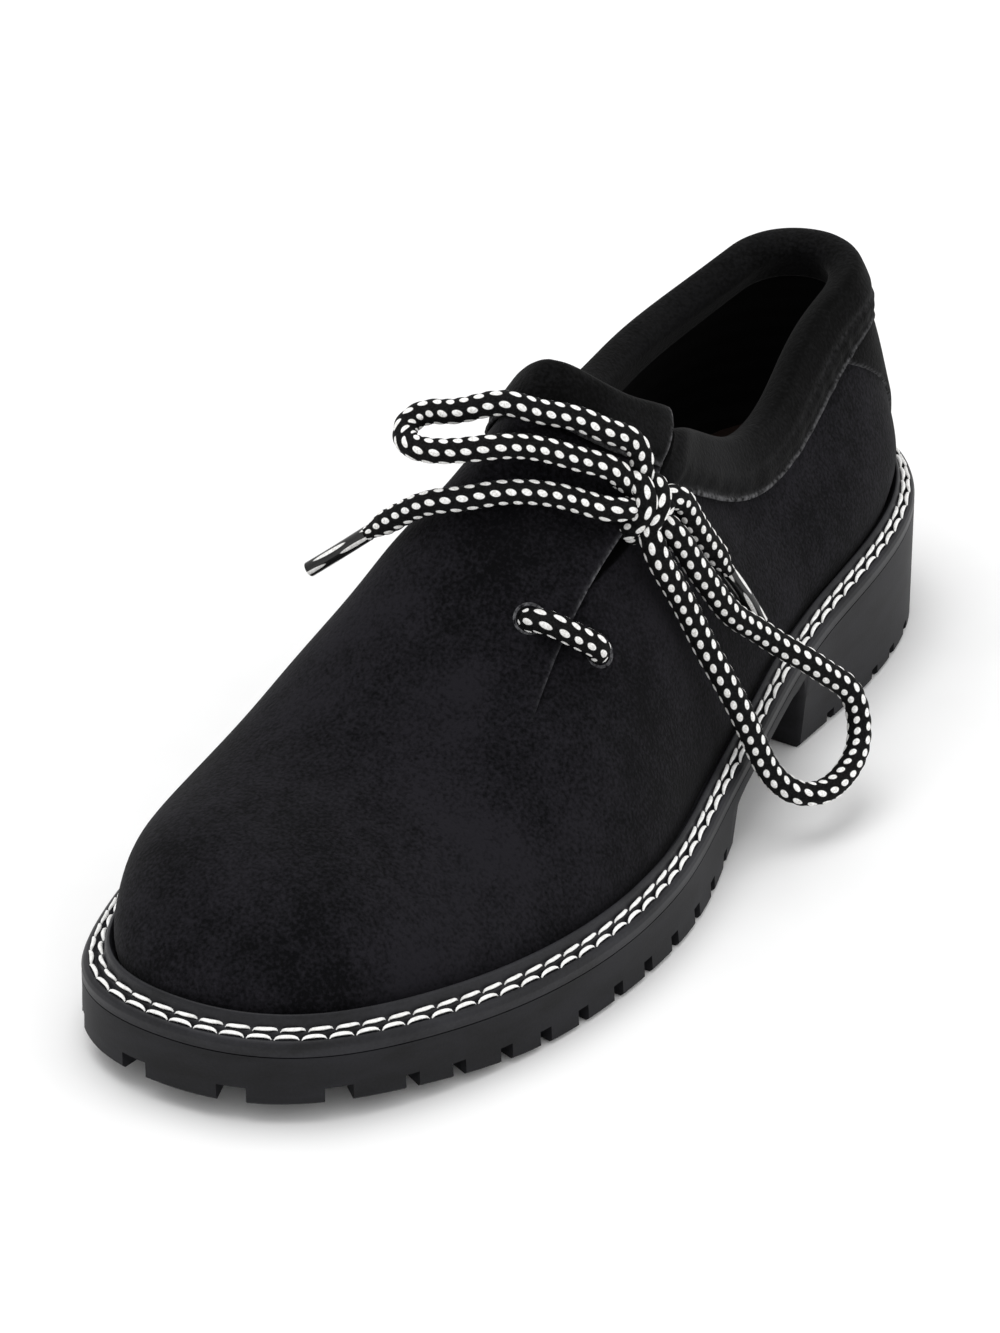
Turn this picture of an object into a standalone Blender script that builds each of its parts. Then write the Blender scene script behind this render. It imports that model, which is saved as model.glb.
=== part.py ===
"""Left shoe of a side-laced suede pair with a rolled collar on a welted, lugged rubber sole.

Metres, +Z up. The toe points along +Y, the foot's inner side is +X and its outer side, where the
shoe laces, is -X. The origin is on the floor under the middle of the sole. Every form follows from
the sole's plan, the height of its top, and the crest of the last, each a short table of shares.
"""

import math
from collections import namedtuple

import bmesh
import bpy
import numpy as np

MM = 0.001
GAP = 0.3 * MM

# Sole sizes
SOLE_LENGTH = 300.0 * MM
BALL_WIDTH = 112.5 * MM
HEEL_WIDTH = 77.5 * MM
HEEL_HEIGHT = 37.5 * MM
FORE_THICKNESS = 16.5 * MM
SHANK_HEIGHT = 16.0 * MM
TOE_SPRING = 4.6 * MM
LUG_DEPTH = 4.5 * MM
HEEL_LUG_DEPTH = 3.2 * MM
NOTCH_WIDTH = 3.4 * MM
LUG_PITCH = 12.5 * MM
EDGE_LUG_LENGTH = 17.0 * MM
GROOVE_WIDTH = 3.0 * MM
CROSS_PITCH = 19.0 * MM
HEEL_LUG_LENGTH = 13.6 * MM
SIDE_FACE = 3.0 * MM
TREAD_CHAMFER = 0.8 * MM
CUTTER_HEIGHT = 30.0 * MM
CUTTER_MARGIN = 4.0 * MM

# Welt and insole
WELT_THICKNESS = 3.7 * MM
WELT_UNDERLAP = 2.6 * MM
TOE_LIP = 4.4 * MM
HEEL_LIP = 3.2 * MM
LIP_WIDTH = 1.2 * MM
STITCH_INSET = 2.8 * MM
STITCH_CHANNEL = 1.5 * MM
LIP_RISE = 0.9 * MM
LIP_CHAMFER = 0.5 * MM
INSOLE_THICKNESS = 3.0 * MM
INSOLE_CLEAR = 1.8 * MM
INSOLE_CHAMFER = 0.6 * MM
TOE_WELT = 7.4 * MM
HEEL_WELT = 6.9 * MM

# Upper
WALL = 2.0 * MM
INSTEP_HEIGHT = 119.0 * MM
COLLAR_HEIGHT = 86.0 * MM
TOE_BULGE = 1.6 * MM
HEEL_BULGE = 2.5 * MM
BULGE_HEIGHT = 11.0 * MM
FLAP_STEP = 2.0 * MM
FLAP_FADE = 16.0 * MM
FLAP_SPREAD = 0.55
FLAP_EDGE = 0.004

# Collar band and heel counter
BAND_WIDTH = 12.5 * MM
BAND_FACE = 2.4 * MM
BAND_INSIDE = 8.0 * MM
BAND_CLEAR = 0.9 * MM
BAND_SLACK = 1.4 * MM
BAND_CHAMFER = 1.2 * MM
BAND_START = 0.06
BAND_STOP = 0.05
BAND_TURN = 0.35
COUNTER_THICKNESS = 1.0 * MM
COUNTER_TOP = 42.0 * MM
COUNTER_FOOT = 20.0 * MM
COUNTER_CLEAR = 0.5 * MM

# Lace
LACE_DIAMETER = 6.0 * MM
AGLET_DIAMETER = 4.0 * MM
KNOT_LENGTH = 19.0 * MM
KNOT_WIDTH = 12.0 * MM
KNOT_HEIGHT = 11.0 * MM

# The plan from the heel to the toe. along: share of SOLE_LENGTH. centre: share of BALL_WIDTH.
# heel and ball: how much of HEEL_WIDTH and of BALL_WIDTH the width takes before the ends close.
Plan = namedtuple("Plan", "along centre heel ball")
PLAN = (
    Plan(0.00, 0.028, 1.14, 0.00),
    Plan(0.08, 0.020, 1.11, 0.00),
    Plan(0.16, 0.013, 1.05, 0.00),
    Plan(0.34, -0.032, 0.96, 0.00),
    Plan(0.42, -0.045, 0.75, 0.19),
    Plan(0.50, -0.050, 0.40, 0.50),
    Plan(0.60, -0.025, 0.10, 0.86),
    Plan(0.70, -0.001, 0.00, 0.99),
    Plan(0.84, 0.029, 0.00, 1.00),
    Plan(0.94, 0.061, 0.00, 1.05),
    Plan(1.00, 0.089, 0.00, 1.17),
)
HEEL_ROUND = 0.250
TOE_ROUND = 0.340
ROUND_POWER = 2.16

# The sole in side view. heel and fore: shares of HEEL_HEIGHT and FORE_THICKNESS that make up the
# height of the welt's top. tuck: share of SHANK_HEIGHT by which the lower edge draws in.
Top = namedtuple("Top", "along heel fore tuck")
TOP = (
    Top(0.00, 0.99, 0.00, 0.00),
    Top(0.14, 0.91, 0.00, 0.00),
    Top(0.27, 0.82, 0.00, 0.03),
    Top(0.39, 0.47, 0.47, 0.22),
    Top(0.52, 0.13, 0.89, 0.00),
    Top(0.68, 0.00, 1.02, -0.04),
    Top(0.85, 0.00, 1.13, -0.04),
    Top(1.00, 0.00, 1.32, 0.00),
)

# The tread line in side view, straight from row to row. rise: share of SHANK_HEIGHT.
Tread = namedtuple("Tread", "along rise")
TREAD = (
    Tread(0.000, 0.10),
    Tread(0.040, 0.00),
    Tread(0.316, 0.00),
    Tread(0.320, 1.00),
    Tread(0.370, 0.86),
    Tread(0.474, 0.48),
    Tread(0.478, 0.06),
    Tread(0.550, 0.00),
    Tread(0.755, 0.00),
    Tread(1.000, 0.00),
)
SPRING_START = 0.755
SPRING_END = 0.975

# Where the tread is cut. start and stop: shares of the length. depth: above the tread line.
# reach: how far in from the edge.
Cut = namedtuple("Cut", "start stop depth reach")
NOTCHES = (
    Cut(0.485, 1.00, LUG_DEPTH, EDGE_LUG_LENGTH),
    Cut(0.000, 0.29, HEEL_LUG_DEPTH, HEEL_LUG_LENGTH),
)
LONG_GROOVES = (
    Cut(0.470, 1.00, LUG_DEPTH + 0.4 * MM, EDGE_LUG_LENGTH),
    Cut(0.000, 0.33, HEEL_LUG_DEPTH + 0.4 * MM, HEEL_LUG_LENGTH),
)
CROSS_GROOVES = (
    Cut(0.520, 0.90, LUG_DEPTH - 0.5 * MM, EDGE_LUG_LENGTH),
    Cut(0.090, 0.27, HEEL_LUG_DEPTH - 0.5 * MM, HEEL_LUG_LENGTH),
)

# The rounded edge of the welt. inset: in from the sole's edge. drop: below the welt's top.
Edge = namedtuple("Edge", "inset drop")
WELT_EDGE = (
    Edge(0.0 * MM, 1.6 * MM),
    Edge(0.5 * MM, 0.6 * MM),
    Edge(1.5 * MM, 0.1 * MM),
)

# The crest of the last. height: share of INSTEP_HEIGHT above the floor. lean: share of BALL_WIDTH
# by which the section leans to the inner side at its crest. power: fullness of the section, 2 being
# an ellipse.
Crest = namedtuple("Crest", "along height lean power")
CREST = (
    Crest(0.00, 0.990, -0.020, 1.90),
    Crest(0.12, 0.830, 0.045, 1.76),
    Crest(0.22, 0.850, 0.110, 1.60),
    Crest(0.32, 0.920, 0.130, 1.50),
    Crest(0.42, 1.020, 0.085, 1.42),
    Crest(0.50, 0.940, 0.080, 1.48),
    Crest(0.59, 0.755, 0.100, 1.62),
    Crest(0.67, 0.550, 0.110, 1.90),
    Crest(0.74, 0.425, 0.120, 2.00),
    Crest(0.82, 0.390, 0.107, 2.17),
    Crest(0.90, 0.375, 0.064, 2.26),
    Crest(1.00, 0.310, 0.010, 2.12),
)
TOE_CREST_ROUND = 0.143
HEEL_CREST_ROUND = 0.070

# The collar's rim in side view. inner and outer: its height above the floor on each side of the
# foot, as shares of COLLAR_HEIGHT.
Rim = namedtuple("Rim", "along inner outer")
RIM = (
    Rim(0.00, 1.090, 1.020),
    Rim(0.08, 1.070, 1.010),
    Rim(0.15, 0.985, 0.960),
    Rim(0.22, 0.945, 0.870),
    Rim(0.30, 0.935, 0.860),
    Rim(0.38, 0.990, 1.020),
    Rim(0.45, 1.125, 1.215),
    Rim(0.50, 1.330, 1.450),
    Rim(0.60, 2.150, 2.150),
)

# The slit down the outer side. rise: share of the way from the feather edge to the rim.
# along: where the flap's edge runs, a share of SOLE_LENGTH.
Slit = namedtuple("Slit", "rise along step")
SLIT = (
    Slit(0.42, 0.659, 0.0),
    Slit(0.55, 0.604, 0.6),
    Slit(0.73, 0.523, 1.0),
    Slit(0.88, 0.451, 1.0),
    Slit(1.00, 0.412, 1.0),
)

# Where the lace goes through the upper, and where it is tied. rise and along: as for the slit.
Spot = namedtuple("Spot", "rise along")
FLAP_HOLE = Spot(0.612, 0.610)
QUARTER_HOLE = Spot(0.520, 0.578)
KNOT = Spot(0.805, 0.493)

# The ways of the bow's loops and ends. out: share of BALL_WIDTH from the middle to the inner side.
# along: share of SOLE_LENGTH from the heel. up: share of INSTEP_HEIGHT from the floor.
Stop = namedtuple("Stop", "out along up")
LOOP_INNER = (
    Stop(-0.189, 0.486, 0.831),
    Stop(-0.175, 0.491, 0.875),
    Stop(-0.138, 0.505, 0.903),
    Stop(-0.101, 0.514, 0.924),
    Stop(-0.061, 0.524, 0.938),
    Stop(-0.015, 0.536, 0.951),
    Stop(0.032, 0.547, 0.966),
    Stop(0.087, 0.557, 0.954),
    Stop(0.141, 0.563, 0.937),
    Stop(0.194, 0.569, 0.914),
    Stop(0.212, 0.580, 0.900),
    Stop(0.186, 0.592, 0.890),
    Stop(0.140, 0.596, 0.892),
    Stop(0.085, 0.590, 0.898),
    Stop(0.021, 0.577, 0.908),
    Stop(-0.023, 0.560, 0.902),
    Stop(-0.075, 0.543, 0.884),
    Stop(-0.122, 0.529, 0.862),
    Stop(-0.160, 0.516, 0.845),
    Stop(-0.195, 0.507, 0.808),
)
END_INNER = (
    Stop(-0.205, 0.519, 0.765),
    Stop(-0.190, 0.528, 0.771),
    Stop(-0.145, 0.538, 0.784),
    Stop(-0.094, 0.551, 0.803),
    Stop(-0.044, 0.566, 0.815),
    Stop(0.006, 0.581, 0.816),
    Stop(0.056, 0.594, 0.807),
    Stop(0.118, 0.600, 0.790),
    Stop(0.186, 0.600, 0.748),
    Stop(0.268, 0.601, 0.684),
)
AGLET_INNER = (
    Stop(0.274, 0.601, 0.679),
    Stop(0.340, 0.604, 0.624),
    Stop(0.404, 0.610, 0.573),
)
LOOP_OUTER = (
    Stop(-0.258, 0.488, 0.706),
    Stop(-0.278, 0.479, 0.664),
    Stop(-0.296, 0.472, 0.618),
    Stop(-0.318, 0.458, 0.550),
    Stop(-0.342, 0.438, 0.470),
    Stop(-0.368, 0.415, 0.412),
    Stop(-0.402, 0.397, 0.362),
    Stop(-0.440, 0.380, 0.318),
    Stop(-0.473, 0.362, 0.268),
    Stop(-0.500, 0.350, 0.228),
    Stop(-0.525, 0.351, 0.176),
    Stop(-0.548, 0.367, 0.134),
    Stop(-0.558, 0.397, 0.109),
    Stop(-0.543, 0.427, 0.103),
    Stop(-0.508, 0.445, 0.120),
    Stop(-0.474, 0.454, 0.155),
    Stop(-0.448, 0.461, 0.212),
    Stop(-0.426, 0.469, 0.285),
    Stop(-0.388, 0.478, 0.378),
    Stop(-0.346, 0.484, 0.458),
    Stop(-0.312, 0.491, 0.540),
    Stop(-0.287, 0.500, 0.608),
    Stop(-0.272, 0.506, 0.650),
    Stop(-0.257, 0.508, 0.689),
)
END_OUTER = (
    Stop(-0.239, 0.474, 0.747),
    Stop(-0.245, 0.460, 0.728),
    Stop(-0.252, 0.450, 0.686),
    Stop(-0.266, 0.430, 0.602),
    Stop(-0.284, 0.411, 0.525),
)
AGLET_OUTER = (
    Stop(-0.285, 0.408, 0.520),
    Stop(-0.300, 0.389, 0.440),
    Stop(-0.316, 0.374, 0.366),
)

FOCUS_HEEL = 0.16
FOCUS_THROAT = 0.42
BEARINGS = 360
RISES = 72


def spline(xs, values, at):
    """Natural cubic curve through the values at xs, level past both ends."""
    xs = np.asarray(xs, float)
    values = np.asarray(values, float)
    step = np.diff(xs)
    slope = np.diff(values) / step
    count = len(xs)
    matrix = np.eye(count)
    right = np.zeros(count)
    for i in range(1, count - 1):
        matrix[i, i - 1:i + 2] = step[i - 1], 2 * (step[i - 1] + step[i]), step[i]
        right[i] = 6 * (slope[i] - slope[i - 1])
    bend = np.linalg.solve(matrix, right)
    at = np.clip(np.asarray(at, float), xs[0], xs[-1])
    i = np.clip(np.searchsorted(xs, at) - 1, 0, count - 2)
    left = (at - xs[i]) / step[i]
    rest = 1 - left
    curve = (left ** 3 - left) * bend[i + 1] + (rest ** 3 - rest) * bend[i]
    return rest * values[i] + left * values[i + 1] + curve * step[i] ** 2 / 6


def column(table, name):
    """One named column of a table as a list."""
    return [getattr(row, name) for row in table]


def read(table, name, along):
    """A named column of a table as a smooth curve, at shares of the length."""
    return spline(column(table, "along"), column(table, name), along)


def rounded(distance, radius):
    """Rises from 0 at an end to 1 at radius from it, as a superellipse does."""
    inner = np.clip(1 - distance / radius, 0, 1)
    return (1 - inner ** ROUND_POWER) ** (1 / ROUND_POWER)


def ease(value):
    """Smooth step from 0 to 1."""
    value = np.clip(value, 0, 1)
    return value * value * (3 - 2 * value)


def share_of(y):
    """Share of the sole's length at a world y."""
    return y / SOLE_LENGTH + 0.5


def centre_line(y):
    return BALL_WIDTH * read(PLAN, "centre", share_of(y))


def half_width(y, inset):
    """Half the width of the outline drawn in by inset, at a world y."""
    share = share_of(y)
    width = HEEL_WIDTH * read(PLAN, "heel", share) + BALL_WIDTH * read(PLAN, "ball", share)
    from_heel = y + SOLE_LENGTH / 2 - inset
    from_toe = SOLE_LENGTH / 2 - inset - y
    heel_end = rounded(from_heel, HEEL_ROUND * SOLE_LENGTH - inset)
    toe_end = rounded(from_toe, TOE_ROUND * SOLE_LENGTH - inset)
    return (width / 2 - inset) * heel_end * toe_end


def welt_top(y):
    """Height of the welt's top above the floor."""
    share = share_of(y)
    return HEEL_HEIGHT * read(TOP, "heel", share) + FORE_THICKNESS * read(TOP, "fore", share)


def tread_line(y):
    """Height of the tread above the floor, with the toe spring."""
    share = share_of(y)
    rise = np.interp(share, column(TREAD, "along"), column(TREAD, "rise"))
    spring = ease((share - SPRING_START) / (SPRING_END - SPRING_START))
    return SHANK_HEIGHT * rise + TOE_SPRING * spring


def feather_inset(share):
    """How far the upper's foot stands inside the sole's edge, from heel to toe."""
    return HEEL_WELT + (TOE_WELT - HEEL_WELT) * ease((share - 0.45) / 0.45)


def outline(shares, inset):
    """Closed ring of plan points: up the inner side from heel to toe, back down the outer side.

    shares run from 0 to 1; inset is a length or one length for each share.
    """
    inset = np.broadcast_to(np.asarray(inset, float), shares.shape)
    y = -SOLE_LENGTH / 2 + inset[0] + shares * (SOLE_LENGTH - inset[0] - inset[-1])
    half = np.array([half_width(value, depth) for value, depth in zip(y, inset)])
    half[0] = half[-1] = 0
    middle = centre_line(y)
    inner = np.stack([middle + half, y], 1)
    outer = np.stack([middle - half, y], 1)
    return np.concatenate([inner, outer[-2:0:-1]])


def fine_shares(count, steps=()):
    """Shares from 0 to 1, close together at both ends, with any steps of the side view added."""
    shares = (1 - np.cos(np.linspace(0, math.pi, count))) / 2
    kept = [s for s in shares if all(abs(s - at) > 0.006 for at in steps)]
    return np.array(sorted(kept + list(steps)))


def ring(plan_points, height):
    """Lifts plan points to a height, which is a function of y or a number for each point."""
    z = height(plan_points[:, 1]) if callable(height) else height
    return np.column_stack([plan_points, np.broadcast_to(z, len(plan_points))])


def mesh_object(name, points, faces, material):
    """Adds one closed mesh with its faces turned out."""
    mesh = bpy.data.meshes.new(name)
    mesh.from_pydata([tuple(point) for point in points], [], faces)
    work = bmesh.new()
    work.from_mesh(mesh)
    bmesh.ops.recalc_face_normals(work, faces=work.faces)
    work.to_mesh(mesh)
    work.free()
    mesh.shade_smooth()
    mesh.set_sharp_from_angle(angle=math.radians(35))
    if material:
        mesh.materials.append(material)
    thing = bpy.data.objects.new(name, mesh)
    bpy.context.scene.collection.objects.link(thing)
    return thing


def tube_faces(rings, count, closed):
    """Quads between neighbouring rings of count points; closed joins the last ring to the first."""
    faces = []
    for i in range(rings if closed else rings - 1):
        near, far = i * count, (i + 1) % rings * count
        for j in range(count):
            k = (j + 1) % count
            faces.append((near + j, near + k, far + k, far + j))
    return faces


def strip_cap(start, count):
    """Closes an outline ring straight across, each inner point to the outer point beside it."""
    half = count // 2
    faces = [(start, start + 1, start + count - 1)]
    for i in range(1, half - 1):
        a, b = start + i, start + i + 1
        faces.append((a, b, start + count - i - 1, start + count - i))
    faces.append((start + half - 1, start + half, start + half + 1))
    return faces


def loop_solid(name, rings, material):
    """Solid ring: the rings go once round its section."""
    count = len(rings[0])
    return mesh_object(name, np.concatenate(rings), tube_faces(len(rings), count, True), material)


def plate_solid(name, rings, material):
    """Solid plate: the rings go down its side, and each end is closed across."""
    count = len(rings[0])
    faces = tube_faces(len(rings), count, False)
    faces += strip_cap(0, count) + strip_cap((len(rings) - 1) * count, count)
    return mesh_object(name, np.concatenate(rings), faces, material)


def surface(name, colour, roughness):
    """A material with the piece's colour."""
    material = bpy.data.materials.new(name)
    material.use_nodes = True
    shader = material.node_tree.nodes["Principled BSDF"]
    shader.inputs["Base Color"].default_value = (*colour, 1)
    shader.inputs["Roughness"].default_value = roughness
    shader.inputs["Metallic"].default_value = 0
    return material


def cut(thing, cutter):
    """Takes the cutter out of a solid and hides the cutter."""
    cutter.hide_render = True
    cutter.display_type = "WIRE"
    modifier = thing.modifiers.new(cutter.name, "BOOLEAN")
    modifier.object = cutter
    modifier.operation = "DIFFERENCE"
    modifier.solver = "EXACT"


def last_section(x, y):
    """Height of the last above the feather edge over plan points, and its lean to the inner side."""
    share = share_of(y)
    half = np.maximum(half_width(y, feather_inset(share)), 1e-6)
    across = np.clip(np.abs(x - centre_line(y)) / half, 0, 1)
    power = read(CREST, "power", share)
    tall = INSTEP_HEIGHT * read(CREST, "height", share) - welt_top(y)
    from_heel = y + SOLE_LENGTH / 2 - HEEL_WELT
    from_toe = SOLE_LENGTH / 2 - TOE_WELT - y
    ends = rounded(from_heel, HEEL_CREST_ROUND * SOLE_LENGTH)
    ends = ends * rounded(from_toe, TOE_CREST_ROUND * SOLE_LENGTH)
    part = ends * (1 - across ** power) ** (1 / power)
    return tall * part, BALL_WIDTH * read(CREST, "lean", share) * part


def last_grid():
    """The outer face of the upper as a fine grid, with its normals.

    Each bearing is a straight line in plan from the feather edge to the middle of the opening. It
    climbs the section of the last until it meets the rim, and is read at even steps of its length.
    """
    bearing = np.arange(BEARINGS) / BEARINGS * 2 * math.pi
    share = (1 - np.cos(bearing)) / 2
    order = fine_shares(BEARINGS // 2 + 1)
    foot = outline(order, feather_inset(order))
    focus_y = SOLE_LENGTH * (FOCUS_HEEL + (FOCUS_THROAT - FOCUS_HEEL) * share - 0.5)
    focus = np.stack([centre_line(focus_y), focus_y], 1)
    reach = 1 - np.cos(np.linspace(0, math.pi / 2, 400))
    plan = foot[:, None, :] + reach[None, :, None] * (focus - foot)[:, None, :]
    x, y = plan[..., 0], plan[..., 1]
    rise, lean = last_section(x, y)
    rise[:, 0] = lean[:, 0] = 0
    outward = foot - focus
    outward /= np.linalg.norm(outward, axis=1)[:, None]
    swell = HEEL_BULGE + (TOE_BULGE - HEEL_BULGE) * ease((share - 0.3) / 0.6)
    height = rise / BULGE_HEIGHT
    bulge = swell[:, None] * height * np.exp(1 - height)
    path = np.stack([x + lean + bulge * outward[:, :1], y + bulge * outward[:, 1:],
                     welt_top(y) + GAP + rise], 2)
    inner_part = (1 + np.sin(bearing)[:, None]) / 2
    rim_height = COLLAR_HEIGHT * (inner_part * read(RIM, "inner", share_of(y))
                                  + (1 - inner_part) * read(RIM, "outer", share_of(y)))
    above = path[..., 2] - rim_height
    above[:, -1] = np.maximum(above[:, -1], 1e-6)
    crossing = np.maximum(np.argmax(above > 0, axis=1), 1)
    points = np.empty((BEARINGS, RISES, 3))
    for i, k in enumerate(crossing):
        part = above[i, k - 1] / (above[i, k - 1] - above[i, k])
        end = path[i, k - 1] + part * (path[i, k] - path[i, k - 1])
        line = np.vstack([path[i, :k], end])
        length = np.concatenate([[0], np.cumsum(np.linalg.norm(np.diff(line, axis=0), axis=1))])
        at = np.linspace(0, length[-1], RISES)
        for axis in range(3):
            points[i, :, axis] = np.interp(at, length, line[:, axis])
    round_way = np.roll(points, -1, 0) - np.roll(points, 1, 0)
    up_way = np.gradient(points, axis=1)
    normal = np.cross(round_way, up_way)
    normal /= np.linalg.norm(normal, axis=2)[..., None]
    return points, normal


LAST, NORMAL = last_grid()
RISE_LENGTH = np.linalg.norm(np.diff(LAST, axis=1), axis=2).sum(1)


def grid_read(grid, bearing, rise):
    """Reads a grid between its points, round the shoe and up it."""
    u = np.mod(bearing / (2 * math.pi), 1) * BEARINGS
    v = np.clip(rise, 0, 1) * (RISES - 1)
    i = u.astype(int) % BEARINGS
    j = np.minimum(v.astype(int), RISES - 2)
    u = (u - np.floor(u))[..., None]
    v = (v - j)[..., None]
    k = (i + 1) % BEARINGS
    low = grid[i, j] * (1 - u) + grid[k, j] * u
    high = grid[i, j + 1] * (1 - u) + grid[k, j + 1] * u
    return low * (1 - v) + high * v


def skin(bearing, rise, lift):
    """Point of the upper's outer face moved out by lift.

    bearing runs round from the heel up the inner side. Past a rise of 1 the face goes on straight.
    """
    bearing, rise, lift = np.broadcast_arrays(bearing, rise, lift)
    point = grid_read(LAST, bearing, rise)
    normal = grid_read(NORMAL, bearing, rise)
    normal = normal / np.linalg.norm(normal, axis=-1)[..., None]
    ones = np.ones_like(rise)
    ahead = grid_read(LAST, bearing, ones) - grid_read(LAST, bearing, ones * 0.97)
    ahead = ahead / np.linalg.norm(ahead, axis=-1)[..., None]
    length = climb(bearing)
    past = np.maximum(rise - 1, 0) * length
    return point + normal * lift[..., None] + ahead * past[..., None]


def climb(bearing):
    """Length of the way up from the feather edge to the rim at a bearing."""
    u = np.mod(np.asarray(bearing) / (2 * math.pi), 1) * BEARINGS
    return np.interp(u, np.arange(BEARINGS + 1), np.append(RISE_LENGTH, RISE_LENGTH[0]))


def bearing_at(rise, along):
    """Bearing on the outer side where the face at this rise lies at this share of the length."""
    outer = np.linspace(math.pi * 1.02, math.pi * 1.9, 300)
    y = grid_read(LAST, outer, np.full(outer.shape, rise))[:, 1]
    return np.interp(-(along - 0.5) * SOLE_LENGTH, -y, outer)


def slit_bearing(rise):
    """Bearing of the flap's edge at each rise, smooth from the feather edge to the rim."""
    rows = [bearing_at(row.rise, row.along) for row in SLIT]
    return spline(column(SLIT, "rise"), rows, np.clip(rise, SLIT[0].rise, 1))


def flap_lift(bearing, rise):
    """How far the flap stands above the quarter: a step at the slit that fades over the vamp."""
    edge = slit_bearing(rise)
    step = spline(column(SLIT, "rise"), column(SLIT, "step"), np.clip(rise, SLIT[0].rise, 1))
    step = np.where(rise < SLIT[0].rise, 0, np.clip(step, 0, 1))
    there = grid_read(LAST, bearing, np.minimum(rise, 1))
    start = grid_read(LAST, edge, np.minimum(rise, 1))
    away = np.linalg.norm(there - start, axis=-1)
    over = np.where(bearing <= edge + 1e-9, 1 - ease(away / FLAP_FADE), 0)
    return FLAP_STEP * step * over


def upper_bearings(count, rises):
    """Even bearings, each bent near the slit so that one of them follows it.

    Returns the grid of bearings and the index of the flap's edge, which stands twice, once at the
    height of the flap and once at that of the quarter.
    """
    even = np.arange(count) / count * 2 * math.pi
    home = slit_bearing(np.array([0.8]))[0]
    index = int(np.argmin(np.abs(even - home)))
    even = even + home - even[index]
    spread = np.exp(-((even - home) / FLAP_SPREAD) ** 2)
    edge = slit_bearing(rises)
    grid = even[:, None] + spread[:, None] * (edge - home)[None, :]
    return np.insert(grid, index + 1, grid[index] + FLAP_EDGE, axis=0), index


def build_upper():
    """The whole upper: one hollow wall, open at the collar and underneath."""
    rises = np.linspace(0, 1, 13) ** 0.9
    grid, edge = upper_bearings(64, rises)
    rise = np.broadcast_to(rises, grid.shape)
    lift = flap_lift(grid, rise)
    lift[edge + 1:] = 0
    outer = skin(grid, rise, lift)
    inner = skin(grid, rise, -WALL)
    inner[:, 0, 2] = outer[:, 0, 2]
    rings = [outer[:, k] for k in range(len(rises))]
    rings += [inner[:, k] for k in reversed(range(len(rises)))]
    return loop_solid("upper", rings, surface("black suede", (0.012, 0.012, 0.013), 0.95))


def band_section():
    """The folded cuff's section: distance below the rim, and lift off the upper's outer face."""
    out = BAND_CLEAR + BAND_FACE
    into = -(WALL + BAND_SLACK + BAND_FACE)
    crown = [((math.cos(angle) * 0.5 + 0.5) * (out - into) + into, math.sin(angle))
             for angle in np.linspace(0, math.pi, 7)]
    section = [(BAND_WIDTH, BAND_CLEAR), (BAND_WIDTH, out * 0.7), (BAND_WIDTH - BAND_CHAMFER, out)]
    section += [(BAND_WIDTH * 0.5, out)]
    section += [(-BAND_CLEAR - BAND_FACE * rise, lift) for lift, rise in crown]
    section += [(BAND_INSIDE, into), (BAND_INSIDE, into + BAND_FACE)]
    section += [(-BAND_CLEAR, into + BAND_FACE), (-BAND_CLEAR, BAND_CLEAR)]
    section += [(BAND_WIDTH * 0.5, BAND_CLEAR)]
    return section


def build_collar_band():
    """The rolled cuff over the rim, from the slit round the heel to the flap's own edge."""
    home = slit_bearing(np.array([1.0]))[0]
    start = home + BAND_START - 2 * math.pi
    around = np.linspace(start, home - BAND_STOP, 52)
    rings = []
    for below, lift in band_section():
        rise = 1 - below / climb(around)
        shift = slit_bearing(np.clip(rise, 0, 1)) - home
        near_flap = np.exp(-((around - home) / BAND_TURN) ** 2)
        near_quarter = np.exp(-((around - home + 2 * math.pi) / BAND_TURN) ** 2)
        bearing = around + shift * (near_flap + near_quarter)
        extra = flap_lift(bearing, np.minimum(rise, 1)) if lift > 0 else 0
        rings.append(skin(bearing, rise, lift + extra))
    stack = np.stack(rings, 1)
    count = stack.shape[1]
    points = stack.reshape(-1, 3)
    faces = tube_faces(stack.shape[0], count, False)
    faces += [tuple(range(count)), tuple(range(len(points) - count, len(points)))]
    return mesh_object("collar_band", points, faces,
                       surface("collar suede", (0.016, 0.016, 0.017), 0.95))


def build_heel_counter():
    """The counter laid over the back of the upper, narrow at its foot, under the collar band."""
    rows = 9
    columns = 18
    outer = []
    inner = []
    for row in range(rows):
        part = row / (rows - 1)
        reach = COUNTER_FOOT + (COUNTER_TOP - COUNTER_FOOT) * part ** 1.6
        girth = np.linspace(-1, 1, columns) * reach
        bearing = girth_to_bearing(girth, part * 0.6)
        top = 1 - (BAND_WIDTH + GAP * 2) / climb(bearing)
        foot = (HEEL_LIP + 3 * GAP) / climb(bearing)
        rise = foot + (top - foot) * part
        inner.append(skin(bearing, rise, COUNTER_CLEAR))
        outer.append(skin(bearing, rise, COUNTER_CLEAR + COUNTER_THICKNESS))
    return shell_patch("heel_counter", np.array(outer), np.array(inner),
                       surface("counter suede", (0.013, 0.013, 0.014), 0.95))


def girth_to_bearing(girth, rise):
    """Bearings at distances round the heel from its back, positive on the inner side."""
    bearing = np.linspace(-1.4, 1.4, 281)
    line = grid_read(LAST, bearing, np.full(bearing.shape, rise))
    length = np.concatenate([[0], np.cumsum(np.linalg.norm(np.diff(line, axis=0), axis=1))])
    length -= np.interp(0, bearing, length)
    return np.interp(girth, length, bearing)


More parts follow.
